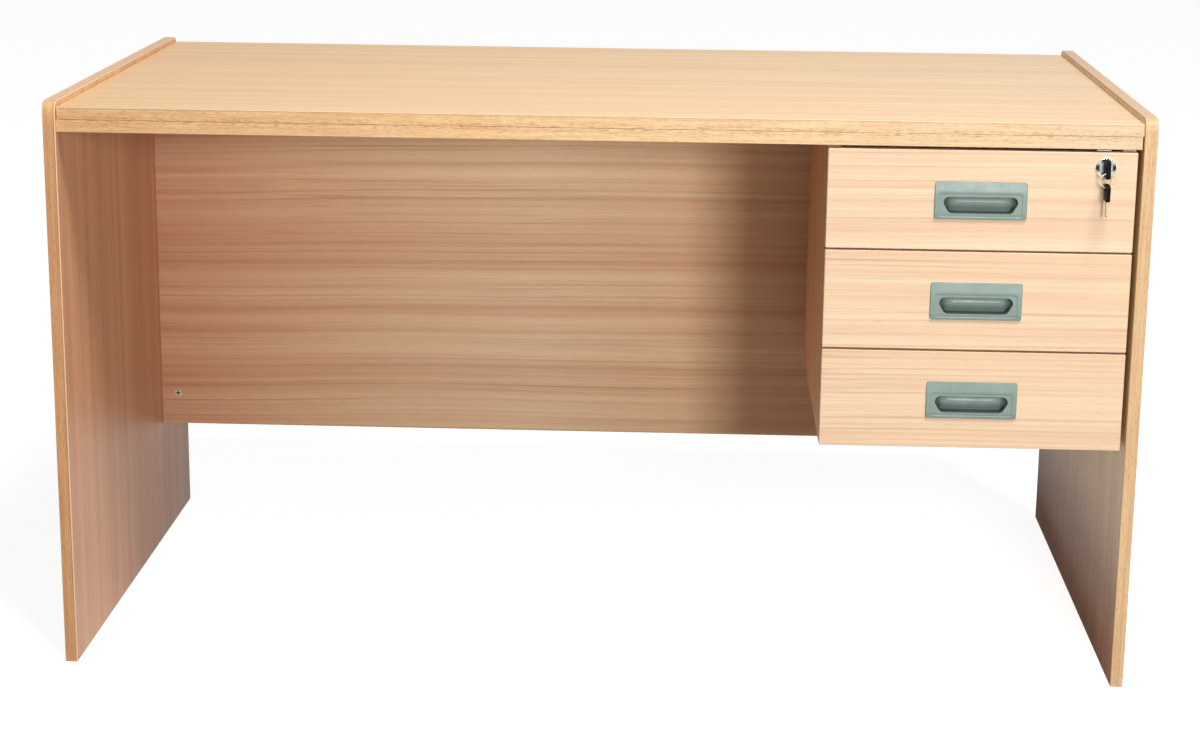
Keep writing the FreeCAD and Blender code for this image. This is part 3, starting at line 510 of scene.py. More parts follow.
class DeskSizes(bpy.types.PropertyGroup):
    """Sizes of what is added to the desk's solids"""
    arris: bpy.props.FloatProperty(
        name="Arris", description="Rounding of a drawer front's edges", default=0.0012, unit="LENGTH",
    )
    pull_step: bpy.props.FloatProperty(
        name="Pull's mesh step", description="Spacing of points along a pull", default=0.0016, unit="LENGTH",
    )
    pull_wall: bpy.props.FloatProperty(
        name="Pull's wall", description="Thickness of a pull's shell", default=0.0018, unit="LENGTH",
    )
    cross_depth: bpy.props.FloatProperty(
        name="Screw cross", description="Depth of a screw's cross recess", default=0.0008, unit="LENGTH",
    )


class DeskStudio(bpy.types.PropertyGroup):
    """Camera and lights"""
    lens: bpy.props.FloatProperty(name="Lens", description="Focal length in mm on 36 mm", default=74.06)
    camera_place: bpy.props.FloatVectorProperty(
        name="Camera", description="Where the camera stands", unit="LENGTH",
        default=(0.1228, -3.4343, 1.1795),
    )
    pitch: bpy.props.FloatProperty(name="Pitch", description="Downward tilt in degrees", default=13.871)
    yaw: bpy.props.FloatProperty(name="Yaw", description="Turn to the left in degrees", default=2.127)
    roll: bpy.props.FloatProperty(name="Roll", description="Roll in degrees", default=0.631)
    key_power: bpy.props.FloatProperty(name="Key light", description="Main light's power", default=42.0)
    top_power: bpy.props.FloatProperty(name="Top light", description="Overhead light's power", default=124.0)
    room: bpy.props.FloatProperty(name="Room light", description="World light's strength", default=0.03)


# Operators

class DESK_OT_studio(bpy.types.Operator):
    """Sets up the floor, the lights, the world and the camera"""
    bl_idname = "desk.studio"
    bl_label = "Studio"

    def execute(self, context):
        settings = context.scene.desk_studio
        self.make_floor()
        self.make_world(settings)
        self.make_lamp(
            "key_light", settings.key_power,
            size=(0.42, 0.42), place=(0.88, -2.92, 1.12), target=(0.1, 0.0, 0.45),
        )
        self.make_lamp(
            "top_light", settings.top_power,
            size=(1.3, 1.1), place=(0.95, -1.6, 3.8), target=(0.2, 0.0, 0.6),
        )
        self.make_camera(settings)
        context.scene.view_settings.view_transform = "Standard"
        return {"FINISHED"}

    def seen(self, tree):
        """1 for rays from the camera, and for those it sees in gloss or through a clear part"""
        path = add(tree, "ShaderNodeLightPath")
        value = path.outputs["Is Camera Ray"]
        for name in ("Is Glossy Ray", "Is Transmission Ray"):
            either = {0: value, 1: path.outputs[name]}
            value = add(tree, "ShaderNodeMath", either, operation="MAXIMUM").outputs[0]
        return value

    def make_floor(self):
        """A wide pale floor that looks white to the camera and still takes the desk's shadow"""
        mesh = bpy.data.meshes.new("studio_floor")
        half = 30.0
        corners = [(-half, -half, 0.0), (half, -half, 0.0), (half, half, 0.0), (-half, half, 0.0)]
        mesh.from_pydata(corners, [], [(0, 1, 2, 3)])
        floor = bpy.data.objects.new("studio_floor", mesh)
        bpy.context.scene.collection.objects.link(floor)
        material, tree, shader = new_material(
            "pale_studio_floor", Base_Color=linear("#BDBCBA"), Roughness=0.9, Specular_IOR_Level=0.1,
        )
        glow = 0.91
        share = add(tree, "ShaderNodeMath", {0: self.seen(tree), 1: glow}, operation="MULTIPLY")
        white = add(tree, "ShaderNodeEmission", {"Color": grey(1.0), "Strength": share.outputs[0]})
        both = add(tree, "ShaderNodeAddShader", {0: shader.outputs[0], 1: white.outputs[0]})
        tree.links.new(both.outputs[0], tree.nodes["Material Output"].inputs["Surface"])
        mesh.materials.append(material)

    def make_world(self, settings):
        """A plain room light, seen as white by the camera and by gloss"""
        world = bpy.context.scene.world or bpy.data.worlds.new("studio")
        bpy.context.scene.world = world
        world.use_nodes = True
        tree = world.node_tree
        tree.nodes.clear()
        light = add(tree, "ShaderNodeBackground", {"Color": grey(1.0), "Strength": settings.room})
        white = add(tree, "ShaderNodeBackground", {"Color": grey(1.0), "Strength": 1.0})
        rays = {0: self.seen(tree), 1: light.outputs[0], 2: white.outputs[0]}
        blend = add(tree, "ShaderNodeMixShader", rays)
        out = add(tree, "ShaderNodeOutputWorld")
        tree.links.new(blend.outputs[0], out.inputs["Surface"])

    def make_lamp(self, name, power, size, place, target):
        """A soft rectangular lamp turned to a target"""
        lamp = bpy.data.lights.new(name, "AREA")
        lamp.shape = "RECTANGLE"
        lamp.size, lamp.size_y = size
        lamp.energy = power
        item = bpy.data.objects.new(name, lamp)
        item.location = place
        aim = Vector(target) - Vector(place)
        item.rotation_euler = aim.to_track_quat("-Z", "Y").to_euler()
        bpy.context.scene.collection.objects.link(item)

    def make_camera(self, settings):
        """The camera at the photograph's place, with its tilt, turn and roll"""
        pitch, yaw, roll = (math.radians(v) for v in (settings.pitch, settings.yaw, settings.roll))
        ahead = Vector((-math.sin(yaw) * math.cos(pitch), math.cos(yaw) * math.cos(pitch), -math.sin(pitch)))
        right = Vector((math.cos(yaw), math.sin(yaw), 0.0))
        up = right.cross(ahead)
        right_turned = math.cos(roll) * right + math.sin(roll) * up
        up_turned = -math.sin(roll) * right + math.cos(roll) * up
        turn = Matrix((right_turned, up_turned, -ahead)).transposed().to_4x4()
        data = bpy.data.cameras.new("photo_camera")
        data.lens = settings.lens
        data.sensor_width = 36.0
        data.sensor_fit = "HORIZONTAL"
        camera = bpy.data.objects.new("photo_camera", data)
        camera.matrix_world = Matrix.Translation(Vector(settings.camera_place)) @ turn
        bpy.context.scene.collection.objects.link(camera)
        bpy.context.scene.camera = camera


class DESK_OT_boards(bpy.types.Operator):
    """Finishes the desk's and the pedestal's boards"""
    bl_idname = "desk.boards"
    bl_label = "Boards"

    def execute(self, context):
        look = context.scene.desk_finish
        self.dress_boards(look)
        self.dress_bands(look)
        return {"FINISHED"}

    def dress_boards(self, look):
        """The boards, each with its grain's axis, tones, shift, strength and pitch, and its options"""
        tones = (look.board_pale, look.board_warm, look.board_line)
        # The modesty panel's tones are a darker, redder copy of the board's: painted shade for the knee space
        inner = (look.inner_pale, look.inner_warm, look.inner_line)
        # Painted shade: the board's tones darkened, for the side panels' inner faces
        shade = ("#D7A37D", "#C8926C", "#85543B")
        # Painted shade: the pedestal's side takes a darker, redder copy of the board's tones
        pedestal_shade = ("#E6B285", "#D79B70", "#8E5A3C")
        low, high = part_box("desktop_upper_board")
        left, right = CAD_BOX[0].x, CAD_BOX[1].x
        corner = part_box("pedestal_left_side")[0]
        # Painted light: the desktop's top is deeper in tone to the left, where less light falls, and paler to
        # the right
        top = {
            "drift": (0, left, right, ("#FFD69C", "#FCD9A7", "#F4D8AE")),
            "glue": (1, low.y, 0.4),
            "gloss": 0.2,
        }
        # Painted shade: the modesty panel darkens towards both ends, beside the left panel and the pedestal
        modesty = {
            "drift": (0, left, corner.x, ("#E0B08B", "#EEC79E", "#F6D5AC", "#FBDDB5", "#F4D1A6", "#DDAF84")),
            "tilt": 0.6,
            "wander_mm": 24.0,
        }
        # Painted shade: the pedestal's side darkens upwards towards the desktop
        pedestal = {"drift": (2, corner.z, low.z, ("#F2C094", "#D49E70", "#BC865B"))}
        # Painted light: the left panel's inner face turns paler above the desktop
        above_desktop = (2, low.z + 0.008, high.z, ("#D7A37D", "#EFC59A"))
        left_side = {"inner": (0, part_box("left_side_panel")[1].x, shade, above_desktop, (0.22, 0.3))}
        # Painted shade and light: the right panel's inner face is brown near the floor and pale towards the
        # top
        floor_light = (2, 0.02, 0.3, ("#C8946A", "#B07A40", "#F4CC90", "#FFE9B0"))
        right_side = {"inner": (0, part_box("right_side_panel")[0].x, shade, floor_light, (0.005, 1.0))}
        boards = (
            ("desktop_upper_board", 0, tones, (0.3, 0.0, 2.1), 0.75, 14.0, top),
            ("desktop_lower_board", 0, tones, (4.1, 1.7, 0.0), 0.8, 12.0, {}),
            ("modesty_panel", 0, inner, (7.3, 0.0, 1.3), 0.9, 13.0, modesty),
            ("left_side_panel", 2, tones, (0.0, 3.3, 0.4), 0.8, 13.0, left_side),
            ("right_side_panel", 2, tones, (0.0, 6.1, 2.2), 0.8, 13.0, right_side),
            ("pedestal_left_side", 2, pedestal_shade, (0.0, 1.2, 5.4), 0.8, 12.0, pedestal),
            ("pedestal_right_side", 2, tones, (0.0, 8.2, 1.4), 0.8, 12.0, {}),
            ("pedestal_bottom", 0, tones, (2.2, 5.1, 0.0), 0.8, 12.0, {}),
            ("pedestal_rear_rail", 0, tones, (6.2, 0.0, 3.4), 0.8, 12.0, {}),
        )
        for node, along, colours, shift, strength, pitch, options in boards:
            dress(node, melamine_board("melamine_" + node, along, colours, shift, strength, pitch, **options))

    def dress_bands(self, look):
        """The edge bands, each with its grain's axis, tones, shift, glued joint, drift and painted arris
        highlight
        """
        tones = (look.band_pale, look.band_warm, look.band_line)
        # Painted shade: the left band takes a darker copy of the band's tones, for the side less light
        # reaches
        deep = ("#E4AE7C", "#D89C6A", "#96643F")
        low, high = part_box("desktop_upper_board")
        left, right, top = CAD_BOX[0].x, CAD_BOX[1].x, CAD_BOX[1].z
        # Painted light: the desktop band is deeper in tone to the left, where less light falls, and paler to
        # the right
        front = (0, left, right, ("#F2C690", "#F6D2A0", "#EAD0AA"))
        # Painted light: the left band turns paler at its top, as if lit there
        lit_top = (2, top - 0.06, top - 0.001, ("#E4AE7C", "#E4AE7C", "#FACC94"))
        inner_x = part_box("left_side_edge_band")[1].x
        bands = (
            ("left_side_edge_band", 2, deep, (0.0, 0.3, 1.1), None, lit_top, (0, inner_x, 1.1)),
            ("right_side_edge_band", 2, tones, (0.0, 2.3, 4.1), None, None, None),
            ("desktop_edge_bands", 0, tones, (1.3, 0.0, 0.7), (2, low.z, 0.25), front, (2, high.z, 1.0)),
            ("modesty_edge_band", 0, tones, (3.3, 1.0, 0.0), None, None, None),
        )
        for node, along, colours, shift, glue, drift, arris in bands:
            dress(node, printed_band("pvc_band_" + node, along, colours, shift, glue, drift, arris))


class DESK_OT_drawer_fronts(bpy.types.Operator):
    """Makes the drawer fronts with their banded, slightly rounded edges"""
    bl_idname = "desk.drawer_fronts"
    bl_label = "Drawer fronts"

    def execute(self, context):
        look = context.scene.desk_finish
        sizes = context.scene.desk_sizes
        tones = (look.board_pale, look.board_warm, look.board_line)
        face_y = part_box("upper_drawer_front")[0].y
        # Painted highlight and shade: the fronts' edge band is pale at the arris, as if lit, and brown deeper
        # in, as the gaps' shade
        edge_light = (1, face_y + 0.0008, face_y + 0.0024, ("#FFF3E0", "#C99A6C"))
        pale = ("#FFF3E0", "#FBE8CE", "#E4C29E")
        band = printed_band("pvc_band_drawer_fronts", 0, pale, (5.0, 0.0, 2.0), drift=edge_light)
        shifts = {"upper": (11.0, 0.0, 0.6), "middle": (15.3, 0.0, 3.6), "lower": (19.7, 0.0, 7.1)}
        for drawer in DRAWERS:
            face = melamine_board("melamine_" + drawer + "_front", 0, tones, shifts[drawer], 1.0, 8.0)
            rounded_copy(
                drawer + "_drawer_front", drawer + "_front_board", drawer + "_drawer",
                sizes.arris, face, band, 1,
            )
        return {"FINISHED"}


class DESK_OT_drawer_boxes(bpy.types.Operator):
    """Finishes the drawer boxes, the pedestal's back and the slides"""
    bl_idname = "desk.drawer_boxes"
    bl_label = "Drawer boxes and slides"

    def execute(self, context):
        tones = ("#EFE8DA", "#E8DFCE", "#CDBFA6")
        side = melamine_board("melamine_box_sides", 1, tones, (0.0, 0.0, 1.0), 0.5)
        back = melamine_board("melamine_box_backs", 0, tones, (3.0, 0.0, 1.0), 0.5)
        slides = plated_metal("zinc_plated_slide_steel", "#C9CCCE", "#B4B8BB", 0.32)
        balls = plated_metal("polished_ball_steel", "#D6D8DA", "#C6C9CB", 0.16)
        dress("pedestal_back", back)
        for drawer in DRAWERS:
            for node in ("_drawer_left_side", "_drawer_right_side", "_drawer_bottom"):
                dress(drawer + node, side)
            for node in ("_cabinet_slides", "_drawer_slides"):
                dress(drawer + node, slides)
            dress(drawer + "_drawer_back", back)
            dress(drawer + "_ball_cages", balls)
        return {"FINISHED"}


class DESK_OT_fittings(bpy.types.Operator):
    """Finishes the cams, bolts, dowels, screws, brackets and the strike plate"""
    bl_idname = "desk.fittings"
    bl_label = "Fittings"

    def execute(self, context):
        zinc = plated_metal("cast_zinc_fittings", "#B9BBBB", "#9B9E9F", 0.38, (1.2, 3.0), 0)
        screws = plated_metal("zinc_plated_screws", "#C6C5BE", "#A9A8A0", 0.3, (0.6, 2.0), 2)
        plate = plated_metal("blackened_steel_plate", "#3B3835", "#2A2826", 0.5, (0.6, 4.0), 0)
        beech = melamine_board("beech_dowels", 0, ("#DDBB8C", "#CFA877", "#A67C4F"), (0.0, 2.0, 0.0))
        panel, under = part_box("modesty_panel")[0].y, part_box("desktop_lower_board")[0].z
        # The cams' driver slots are painted dark as their shade
        slots = ((1, panel + 0.0019, 1.5), (2, under + 0.0019, 1.5))
        cams = plated_metal("cast_zinc_cams", "#E9E0C6", "#C4BA9E", 0.34, (1.2, 3.0), 0, slots=slots)
        dress("cam_bolts", zinc)
        dress("lock_bolt", zinc)
        dress("cam_locks", cams)
        dress("pedestal_brackets", screws)
        dress("lock_strike_plate", plate)
        dress("wooden_dowels", beech)
        sizes = context.scene.desk_sizes
        tree = self.screw_tree()
        desk_nodes = ("lamination_screws", "pedestal_screws", "slide_screws")
        self.screw_field(tree, "desk_screw_field", "desk", desk_nodes, screws, sizes)
        for drawer in DRAWERS:
            fixings = (drawer + "_drawer_fixings",)
            self.screw_field(tree, drawer + "_screw_field", drawer + "_drawer", fixings, screws, sizes)
        return {"FINISHED"}

    def screw_places(self, node):
        """Each screw of a node, in order of place: its head's outer end, the way it is driven, its length and
        its head's radius"""
        shape = bmesh.new()
        shape.from_mesh(NODES[node].data)
        bmesh.ops.remove_doubles(shape, verts=shape.verts, dist=TOUCH / 2)
        waiting = set(shape.verts)
        places = []
        while waiting:
            island, front = set(), [waiting.pop()]
            while front:
                vert = front.pop()
                island.add(vert)
                near = {edge.other_vert(vert) for edge in vert.link_edges} & waiting
                waiting -= near
                front.extend(near)
            points = [vert.co for vert in island]
            low = Vector([min(p[i] for p in points) for i in range(3)])
            high = Vector([max(p[i] for p in points) for i in range(3)])
            size = high - low
            axis = max(range(3), key=lambda i: size[i])
            width = max(size[i] for i in range(3) if i != axis)
            middle = (low + high) / 2
            spans = [
                max((p - middle).length for p in points if abs(p[axis] - end) < TOUCH)
                for end in (low[axis], high[axis])
            ]
            way = Vector((0.0, 0.0, 0.0))
            way[axis] = 1.0 if spans[0] >= spans[1] - TOUCH / 2 else -1.0
            places.append((middle - way * size[axis] / 2, way, size[axis], width / 2))
        shape.free()
        return sorted(places, key=lambda place: tuple(place[0]))

    def screw_tree(self):
        """A node tree that stands a cross-recessed pan-head screw on every point. The head is 1 in radius and
        takes the point's width, and the shank is 1 long and takes its reach"""
        tree = bpy.data.node_groups.new("screw_field", "GeometryNodeTree")
        given = self.screw_inputs(tree)
        head = self.screw_head(tree, given)
        shank = add(tree, "GeometryNodeMeshCylinder", {
            "Vertices": 12, "Radius": given["Shank radius"], "Depth": 1.0,
        }).outputs["Mesh"]
        hung = {"Geometry": shank, "Translation": (0.0, 0.0, -0.5)}
        shank = add(tree, "GeometryNodeTransform", hung).outputs[0]
        aim, reach, width = (
            add(tree, "GeometryNodeInputNamedAttribute", {"Name": name}, data_type=kind).outputs[0]
            for name, kind in (("aim", "FLOAT_VECTOR"), ("reach", "FLOAT"), ("width", "FLOAT"))
        )
        facing = add(tree, "FunctionNodeAlignRotationToVector", {"Vector": aim}, axis="Z").outputs[0]
        chance = add(tree, "FunctionNodeRandomValue", {"Seed": given["Seed"]}, data_type="FLOAT")
        chance.inputs[3].default_value = 2 * math.pi
        spin = add(tree, "ShaderNodeCombineXYZ", {"Z": chance.outputs[1]}).outputs[0]
        turn = add(tree, "FunctionNodeEulerToRotation", {"Euler": spin}).outputs[0]
        turns = {"Rotation": facing, "Rotate By": turn}
        turned = add(tree, "FunctionNodeRotateRotation", turns, rotation_space="LOCAL").outputs[0]
        both = add(tree, "GeometryNodeJoinGeometry")
        head_size = {"X": width, "Y": width, "Z": 1.0}
        shank_size = {"X": 1.0, "Y": 1.0, "Z": reach}
        for part, size in ((head, head_size), (shank, shank_size)):
            scale = add(tree, "ShaderNodeCombineXYZ", size).outputs[0]
            placed = add(tree, "GeometryNodeInstanceOnPoints", {
                "Points": given["Points"], "Instance": part, "Rotation": turned, "Scale": scale,
            })
            tree.links.new(placed.outputs[0], both.inputs[0])
        real = add(tree, "GeometryNodeRealizeInstances", {"Geometry": both.outputs[0]}).outputs[0]
        dressed = add(tree, "GeometryNodeSetMaterial", {"Geometry": real, "Material": given["Material"]})
        out = add(tree, "NodeGroupOutput")
        tree.links.new(dressed.outputs[0], out.inputs["Screws"])
        return tree

    def screw_inputs(self, tree):
        """The tree's named inputs, and its one output"""
        sockets = tree.interface
        sockets.new_socket("Points", in_out="INPUT", socket_type="NodeSocketGeometry")
        sizes = (
            ("Head height", 0.0016), ("Shank radius", 0.0017),
            ("Cross length", 0.0036), ("Cross width", 0.0007), ("Cross depth", 0.0008),
        )
        for name, value in sizes:
            socket = sockets.new_socket(name, in_out="INPUT", socket_type="NodeSocketFloat")
            socket.default_value = value
            socket.subtype = "DISTANCE"
        sockets.new_socket("Seed", in_out="INPUT", socket_type="NodeSocketInt").default_value = 7
        sockets.new_socket("Material", in_out="INPUT", socket_type="NodeSocketMaterial")
        sockets.new_socket("Screws", in_out="OUTPUT", socket_type="NodeSocketGeometry")
        return add(tree, "NodeGroupInput").outputs

    def screw_head(self, tree, given):
        """A pan head under its point, with a cross cut into it. It is 1 in radius, so the cross is divided by
        the real head's radius"""
        head_radius = 0.0034
        cone = add(tree, "GeometryNodeMeshCone", {
            "Vertices": 24, "Side Segments": 3, "Radius Top": 0.72, "Radius Bottom": 1.0,
            "Depth": given["Head height"],
        }, fill_type="NGON").outputs["Mesh"]
        back = {0: given["Head height"], 1: -1.0}
        back = add(tree, "ShaderNodeMath", back, operation="MULTIPLY").outputs[0]
        down = add(tree, "ShaderNodeCombineXYZ", {"Z": back}).outputs[0]
        sunk = add(tree, "GeometryNodeTransform", {"Geometry": cone, "Translation": down}).outputs[0]
        long, thin = (
            add(tree, "ShaderNodeMath", {0: given[name], 1: head_radius}, operation="DIVIDE").outputs[0]
            for name in ("Cross length", "Cross width")
        )
        deep = add(tree, "ShaderNodeMath", {0: given["Cross depth"], 1: 2.0}, operation="MULTIPLY").outputs[0]
        cross = add(tree, "GeometryNodeMeshBoolean", operation="UNION", solver="EXACT")
        for size in ({"X": long, "Y": thin, "Z": deep}, {"X": thin, "Y": long, "Z": deep}):
            extent = add(tree, "ShaderNodeCombineXYZ", size).outputs[0]
            bar = add(tree, "GeometryNodeMeshCube", {"Size": extent}).outputs["Mesh"]
            tree.links.new(bar, cross.inputs["Mesh 2"])
        cut = add(tree, "GeometryNodeMeshBoolean", {"Mesh 1": sunk}, operation="DIFFERENCE", solver="EXACT")
        tree.links.new(cross.outputs["Mesh"], cut.inputs["Mesh 2"])
        return cut.outputs["Mesh"]

    def screw_field(self, tree, name, body, nodes, material, sizes):
        """The screws of one body as one plain mesh, made by the node tree on points taken from the solids"""
        places = [place for node in nodes for place in self.screw_places(node)]
        starts, ways, lengths, radii = zip(*places)
        mesh = bpy.data.meshes.new(name + "_points")
        mesh.from_pydata(list(starts), [], [])
        tip_room = 0.0001
        layers = (
            ("aim", "FLOAT_VECTOR", "vector", [-way for way in ways]),
            ("reach", "FLOAT", "value", [length - tip_room for length in lengths]),
            ("width", "FLOAT", "value", radii),
        )
        for key, kind, field, values in layers:
            layer = mesh.attributes.new(key, kind, "POINT")
            for item, value in zip(layer.data, values):
                setattr(item, field, value)
        points = bpy.data.objects.new(name + "_points", mesh)
        bpy.context.scene.collection.objects.link(points)
        modifier = points.modifiers.new("screws", "NODES")
        modifier.node_group = tree
        sockets = {item.name: item.identifier for item in tree.interface.items_tree if item.in_out == "INPUT"}
        modifier[sockets["Cross depth"]] = sizes.cross_depth
        modifier[sockets["Material"]] = material
        bpy.context.view_layer.update()
        graph = bpy.context.evaluated_depsgraph_get()
        made = bpy.data.meshes.new_from_object(points.evaluated_get(graph), depsgraph=graph)
        points.modifiers.remove(modifier)
        bpy.data.objects.remove(points)
        made.name = name
        made.materials.clear()
        made.materials.append(material)
        piece = bpy.data.objects.new(name, made)
        bpy.context.scene.collection.objects.link(piece)
        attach(piece, body)
        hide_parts(*nodes)


class DESK_OT_lock_and_keys(bpy.types.Operator):
    """Finishes the lock, its keys and their ring"""
    bl_idname = "desk.lock_and_keys"
    bl_label = "Lock and keys"

    def execute(self, context):
        look = context.scene.desk_finish
        low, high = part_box("lock_plug")
        centre = ((low.x + high.x) / 2, (low.z + high.z) / 2)
        # Painted reflection: the chrome bezel's sides are painted dark
        painted_flanks = (*centre, 0.0066, 0.0086, "#33382F")
        chrome = plated_metal("polished_chrome_bezel", "#DDE3DE", "#C3CBC6", 0.09, (2.0, 2.0), 1, painted_flanks)
        satin = plated_metal("satin_nickel_plug", "#A3A9A4", "#868D88", 0.3, (0.5, 3.0), 0)
        nickel = plated_metal("nickel_plated_key", "#A89C87", "#8B806D", 0.34, (0.3, 4.0), 1)
        bright = plated_metal("bright_nickel_ring", "#EADBC0", "#D4C5AA", 0.18, (0.3, 2.0), 0)
        black = moulded_plastic("black_moulded_abs", look.bow, "#0A0A0C", 0.5, 0.55, 0.08)
        dress("lock_housing", chrome)
        dress("lock_plug", satin)
        dress("key_ring", bright)
        for key in ("key", "spare_key"):
            dress(key + "_blade", nickel)
            dress(key + "_bow", black)
        return {"FINISHED"}


class DESK_OT_pulls(bpy.types.Operator):
    """Makes the recessed pulls: a plate with a sloped brow, a sunk panel and a scoop with a round cushion"""
    bl_idname = "desk.pulls"
    bl_label = "Pulls"

    def execute(self, context):
        look = context.scene.desk_finish
        sizes = context.scene.desk_sizes
        # The pulls' plastic is painted #37423E where shade falls: in the scoop, at the rim and on the ledge
        sage = moulded_plastic(
            "grey_green_moulded_abs", look.pull, look.pull_dark, 0.5, 0.36, 0.42, painted_shade="#37423E",
        )
        self.wall = sizes.pull_wall / MM
        self.step = sizes.pull_step / MM
        for drawer in DRAWERS:
            node = drawer + "_drawer_handle"
            low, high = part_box(node)
            self.centre = Vector(((low.x + high.x) / 2, low.y + PULL["proud"] * MM, (low.z + high.z) / 2))
            self.half = ((high.x - low.x) / 2 / MM, (high.z - low.z) / 2 / MM)
            piece_from(self.shell, drawer + "_pull", drawer + "_drawer", sage, node)
        return {"FINISHED"}

    def ring(self, top, low, radius):
        """Places round a form with rounded corners: top and low are the centres of its right-hand corners.
        Where the side leans, the top corner's arc past the horizontal takes some of the side's places"""
        lean = math.atan2(low[0] - top[0], top[1] - low[1])
        quarter = math.pi / 2
        straight = max(int(self.half[0] / self.step), 8)
        side = max(int(2 * self.half[1] / self.step), 8)
        round_places = 10
        bend = int(0.3 * side) if lean < -0.01 else 0
        turns = [(top, quarter * (1 - i / round_places)) for i in range(round_places)]
        turns += [(top, lean * i / bend) for i in range(bend)]
        for i in range(bend, side):
            share = (i - bend) / (side - bend)
            turns.append(((top[0] + (low[0] - top[0]) * share, top[1] + (low[1] - top[1]) * share), lean))
        turns += [(low, lean - (quarter + lean) * i / round_places) for i in range(round_places)]
        half = [(top[0] * i / straight, top[1] + radius) for i in range(straight)]
        half += [(x + radius * math.cos(turn), z + radius * math.sin(turn)) for (x, z), turn in turns]
        half += [(low[0] * (straight - i) / straight, low[1] - radius) for i in range(straight + 1)]
        return half + [(-x, z) for x, z in half[-2:0:-1]]

    def between(self, first, last, count):
        """Evenly spaced loops between two loops"""
        shares = [(i + 1) / (count + 1) for i in range(count)]
        return [
            [(a[0] + (b[0] - a[0]) * share, a[1] + (b[1] - a[1]) * share) for a, b in zip(first, last)]
            for share in shares
        ]

    def loops(self):
        """Nested loops from the plate's outline, past the panel's step and the recess's wall, to the scoop's
        middle. A form is its top and low corner, its radius and the insets in mm at which its loops lie"""
        half_x, half_z = self.half
        recess_low = (PULL["recess_bottom_half"] + PULL["recess_corner"], PULL["recess_bottom"])
        brim_insets = (-2.2, -1.9, -1.6, -1.3, -1.0, -0.7, -0.45, -0.2)
        wall_insets = (0.0, 0.2, 0.4, 0.6, 0.8, 1.0, 1.2, 1.4, 1.7, 2.1)
        cushion_insets = (2.6, 3.3, 4.2, 5.4, 6.9)
        forms = (
            ((half_x, half_z), (half_x, -half_z), PULL["corner"], (0.0, 0.07, 0.2, 0.4, 0.7, 1.1)),
            ((PULL["panel_half"], PULL["panel_top"]), (PULL["panel_half"], PULL["panel_bottom"]),
             PULL["panel_corner"], (-0.3, -0.15, 0.0, 0.15, 0.3)),
            ((PULL["recess_half"], PULL["recess_top"]), recess_low, PULL["recess_corner"],
             brim_insets + wall_insets + cushion_insets),
        )
        loops = []
        for top_corner, low_corner, radius, insets in forms:
            top = (top_corner[0] - radius, top_corner[1] - radius)
            low = (low_corner[0] - radius, low_corner[1] + radius)
            form = [self.ring(top, low, radius - inset) for inset in insets]
            if loops:
                loops += self.between(loops[-1], form[0], 3)
            loops += form
        middle = (top[1] + low[1]) / 2
        spine = [(min(max(x, -low[0]), low[0]), middle) for x, z in loops[-1]]
        return loops + self.between(loops[-1], spine, 2) + [spine]

    def panel_depth(self, x, z):
        """How deep the face lies before the recess is sunk: brow, panel's step and outer rounding"""
        half_x, half_z = self.half
        face = -PULL["proud"]
        if z > PULL["panel_top"]:
            share = (z - PULL["panel_top"]) / (half_z - PULL["panel_top"])
            face += (PULL["proud"] - PULL["top_proud"]) * share
        centre_z = (PULL["panel_top"] + PULL["panel_bottom"]) / 2
        inner_z = (PULL["panel_top"] - PULL["panel_bottom"]) / 2
        inside = rounded_box_inset(x, z - centre_z, PULL["panel_half"], inner_z, PULL["panel_corner"])
        face += PULL["panel_step"] * soft_step(inside / 0.5 + 0.5)
        edge = rounded_box_inset(x, z, half_x, half_z, PULL["corner"])
        radius = PULL["edge_round"]
        if edge < radius:
            face += radius - math.sqrt(max(radius ** 2 - (radius - max(edge, 0.0)) ** 2, 0.0))
        return min(face, -0.05)

    def scoop(self, x, z):
        """How deep the scoop's cushion lies: it rises under the lip, and drops below and at its ends"""
        share = down_recess(z)
        rise = math.sin(math.pi * min(max(share * 1.3 - 0.05, 0.0), 1.0))
        drop = max(share - 0.3, 0.0) ** 1.4
        ends = max(abs(x) - PULL["ends_from"], 0.0) / PULL["ends_length"]
        depth = PULL["lip_depth"] - PULL["cushion_rise"] * rise + PULL["low_drop"] * drop
        return min(depth + PULL["ends_drop"] * ends ** 2, PULL["deepest"])

    def painted_shade(self, x, z, inset):
        """Painted shade, how dark a place is painted: in the scoop under the lip, at the ends and along the
        lower wall, and outside it at the plate's rim and on the ledge below, where shade falls"""
        share = down_recess(z)
        lip = 0.5 * soft_step((0.16 - share) / 0.12)
        low = 0.05 * soft_step((share - 0.3) / 0.4)
        ends = 0.6 * soft_step((abs(x) - 35.0) / 8.0)
        wall = 0.92 * soft_step((2.4 - inset) / 0.8) * soft_step((share - 0.5) / 0.2)
        sunk = soft_step((inset + 0.15) / 0.3) * min(max(lip, low, ends, wall) + 0.3 * min(low, ends), 0.95)
        rim = 0.4 * soft_step((0.9 - rounded_box_inset(x, z, *self.half, PULL["corner"])) / 0.6)
        ledge = 0.24 * soft_step((PULL["recess_bottom"] - z) / 0.6) * soft_step((28.0 + z) / 6.0)
        return max(sunk, rim, ledge)

    def shell(self, shape):
        """The front, the back that follows it at the wall's thickness, and the rim between them"""
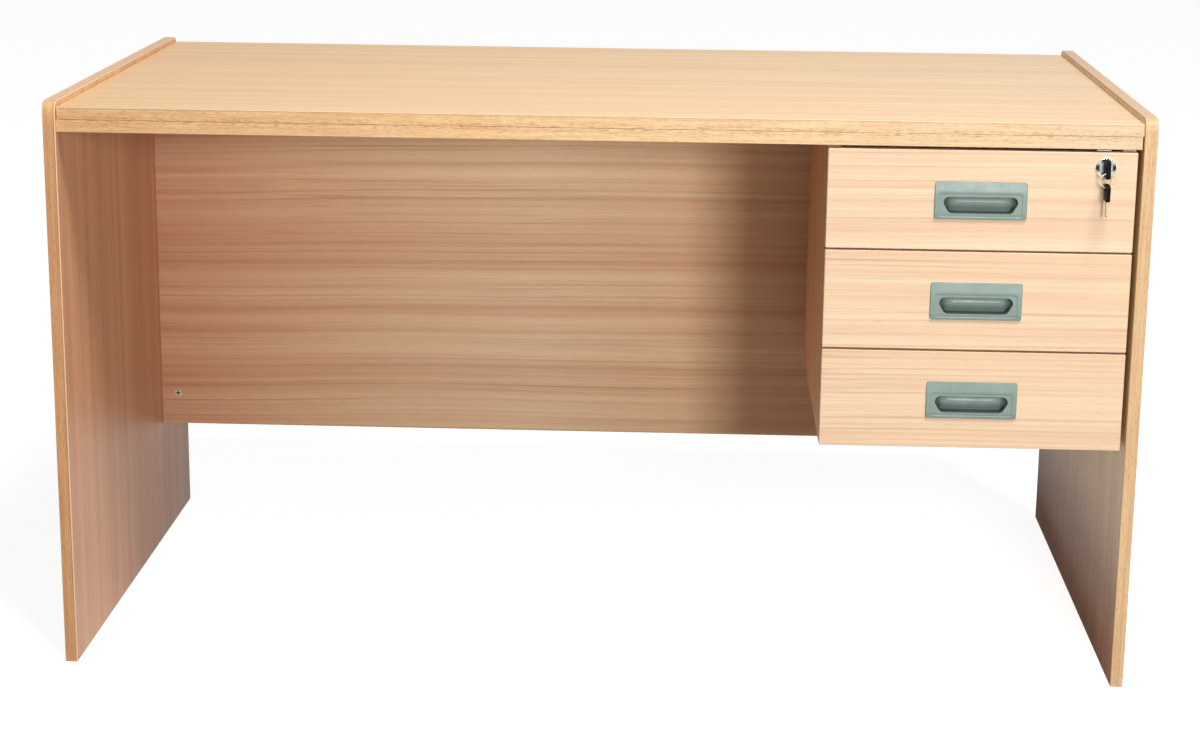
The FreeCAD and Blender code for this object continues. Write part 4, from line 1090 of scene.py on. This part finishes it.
        # Each front point keeps how much painted shade its plastic takes
        painted_shade = shape.verts.layers.float.new("painted_shade")
        front, back = [], []
        for loop in self.loops():
            front.append([])
            back.append([])
            for x, z in loop:
                inset = recess_inset(x, z)
                face = self.panel_depth(x, z)
                depth = self.scoop(x, z)
                sunk = face + (depth - face) * soft_step((inset + 0.2) / 1.5)
                behind = max(0.0, (depth + self.wall) * soft_step((inset + self.wall + 0.3) / 1.6))
                if inset > -1.0:
                    behind = max(behind, sunk + self.wall * 0.5)
                place = shape.verts.new(self.centre + Vector((x, sunk, z)) * MM)
                place[painted_shade] = self.painted_shade(x, z, inset)
                front[-1].append(place)
                back[-1].append(shape.verts.new(self.centre + Vector((x, behind, z)) * MM))
        for loops in (front, back):
            for outer, inner in zip(loops, loops[1:]):
                for i in range(len(outer)):
                    shape.faces.new((outer[i - 1], outer[i], inner[i], inner[i - 1])).smooth = True
        for i in range(len(front[0])):
            shape.faces.new((front[0][i - 1], back[0][i - 1], back[0][i], front[0][i]))
        bmesh.ops.remove_doubles(shape, verts=shape.verts, dist=0.000001)
        bmesh.ops.recalc_face_normals(shape, faces=shape.faces)


class DESK_PT_panel(bpy.types.Panel):
    """Lists the desk's steps and settings"""
    bl_idname = "DESK_PT_panel"
    bl_label = "Desk"
    bl_space_type = "VIEW_3D"
    bl_region_type = "UI"
    bl_category = "Desk"

    def draw(self, context):
        column = self.layout.column()
        for operator in OPERATORS:
            column.operator(operator.bl_idname)
        for group in (context.scene.desk_finish, context.scene.desk_sizes, context.scene.desk_studio):
            for key in group.bl_rna.properties.keys():
                if key not in ("name", "rna_type"):
                    column.prop(group, key)


OPERATORS = (
    DESK_OT_studio, DESK_OT_boards, DESK_OT_drawer_fronts, DESK_OT_drawer_boxes, DESK_OT_fittings,
    DESK_OT_lock_and_keys, DESK_OT_pulls,
)
GROUPS = {"desk_finish": DeskFinish, "desk_sizes": DeskSizes, "desk_studio": DeskStudio}


def register():
    """Registers the classes and puts the settings on the scene"""
    for name, group in GROUPS.items():
        bpy.utils.register_class(group)
        setattr(bpy.types.Scene, name, bpy.props.PointerProperty(type=group))
    for operator in OPERATORS:
        bpy.utils.register_class(operator)
    bpy.utils.register_class(DESK_PT_panel)


def unregister():
    """Removes the classes and the settings"""
    bpy.utils.unregister_class(DESK_PT_panel)
    for operator in reversed(OPERATORS):
        bpy.utils.unregister_class(operator)
    for name, group in reversed(GROUPS.items()):
        delattr(bpy.types.Scene, name)
        bpy.utils.unregister_class(group)


def main():
    """Runs every step in order"""
    register()
    for operator in OPERATORS:
        group, action = operator.bl_idname.split(".")
        getattr(getattr(bpy.ops, group), action)()


if __name__ == "__main__":
    main()
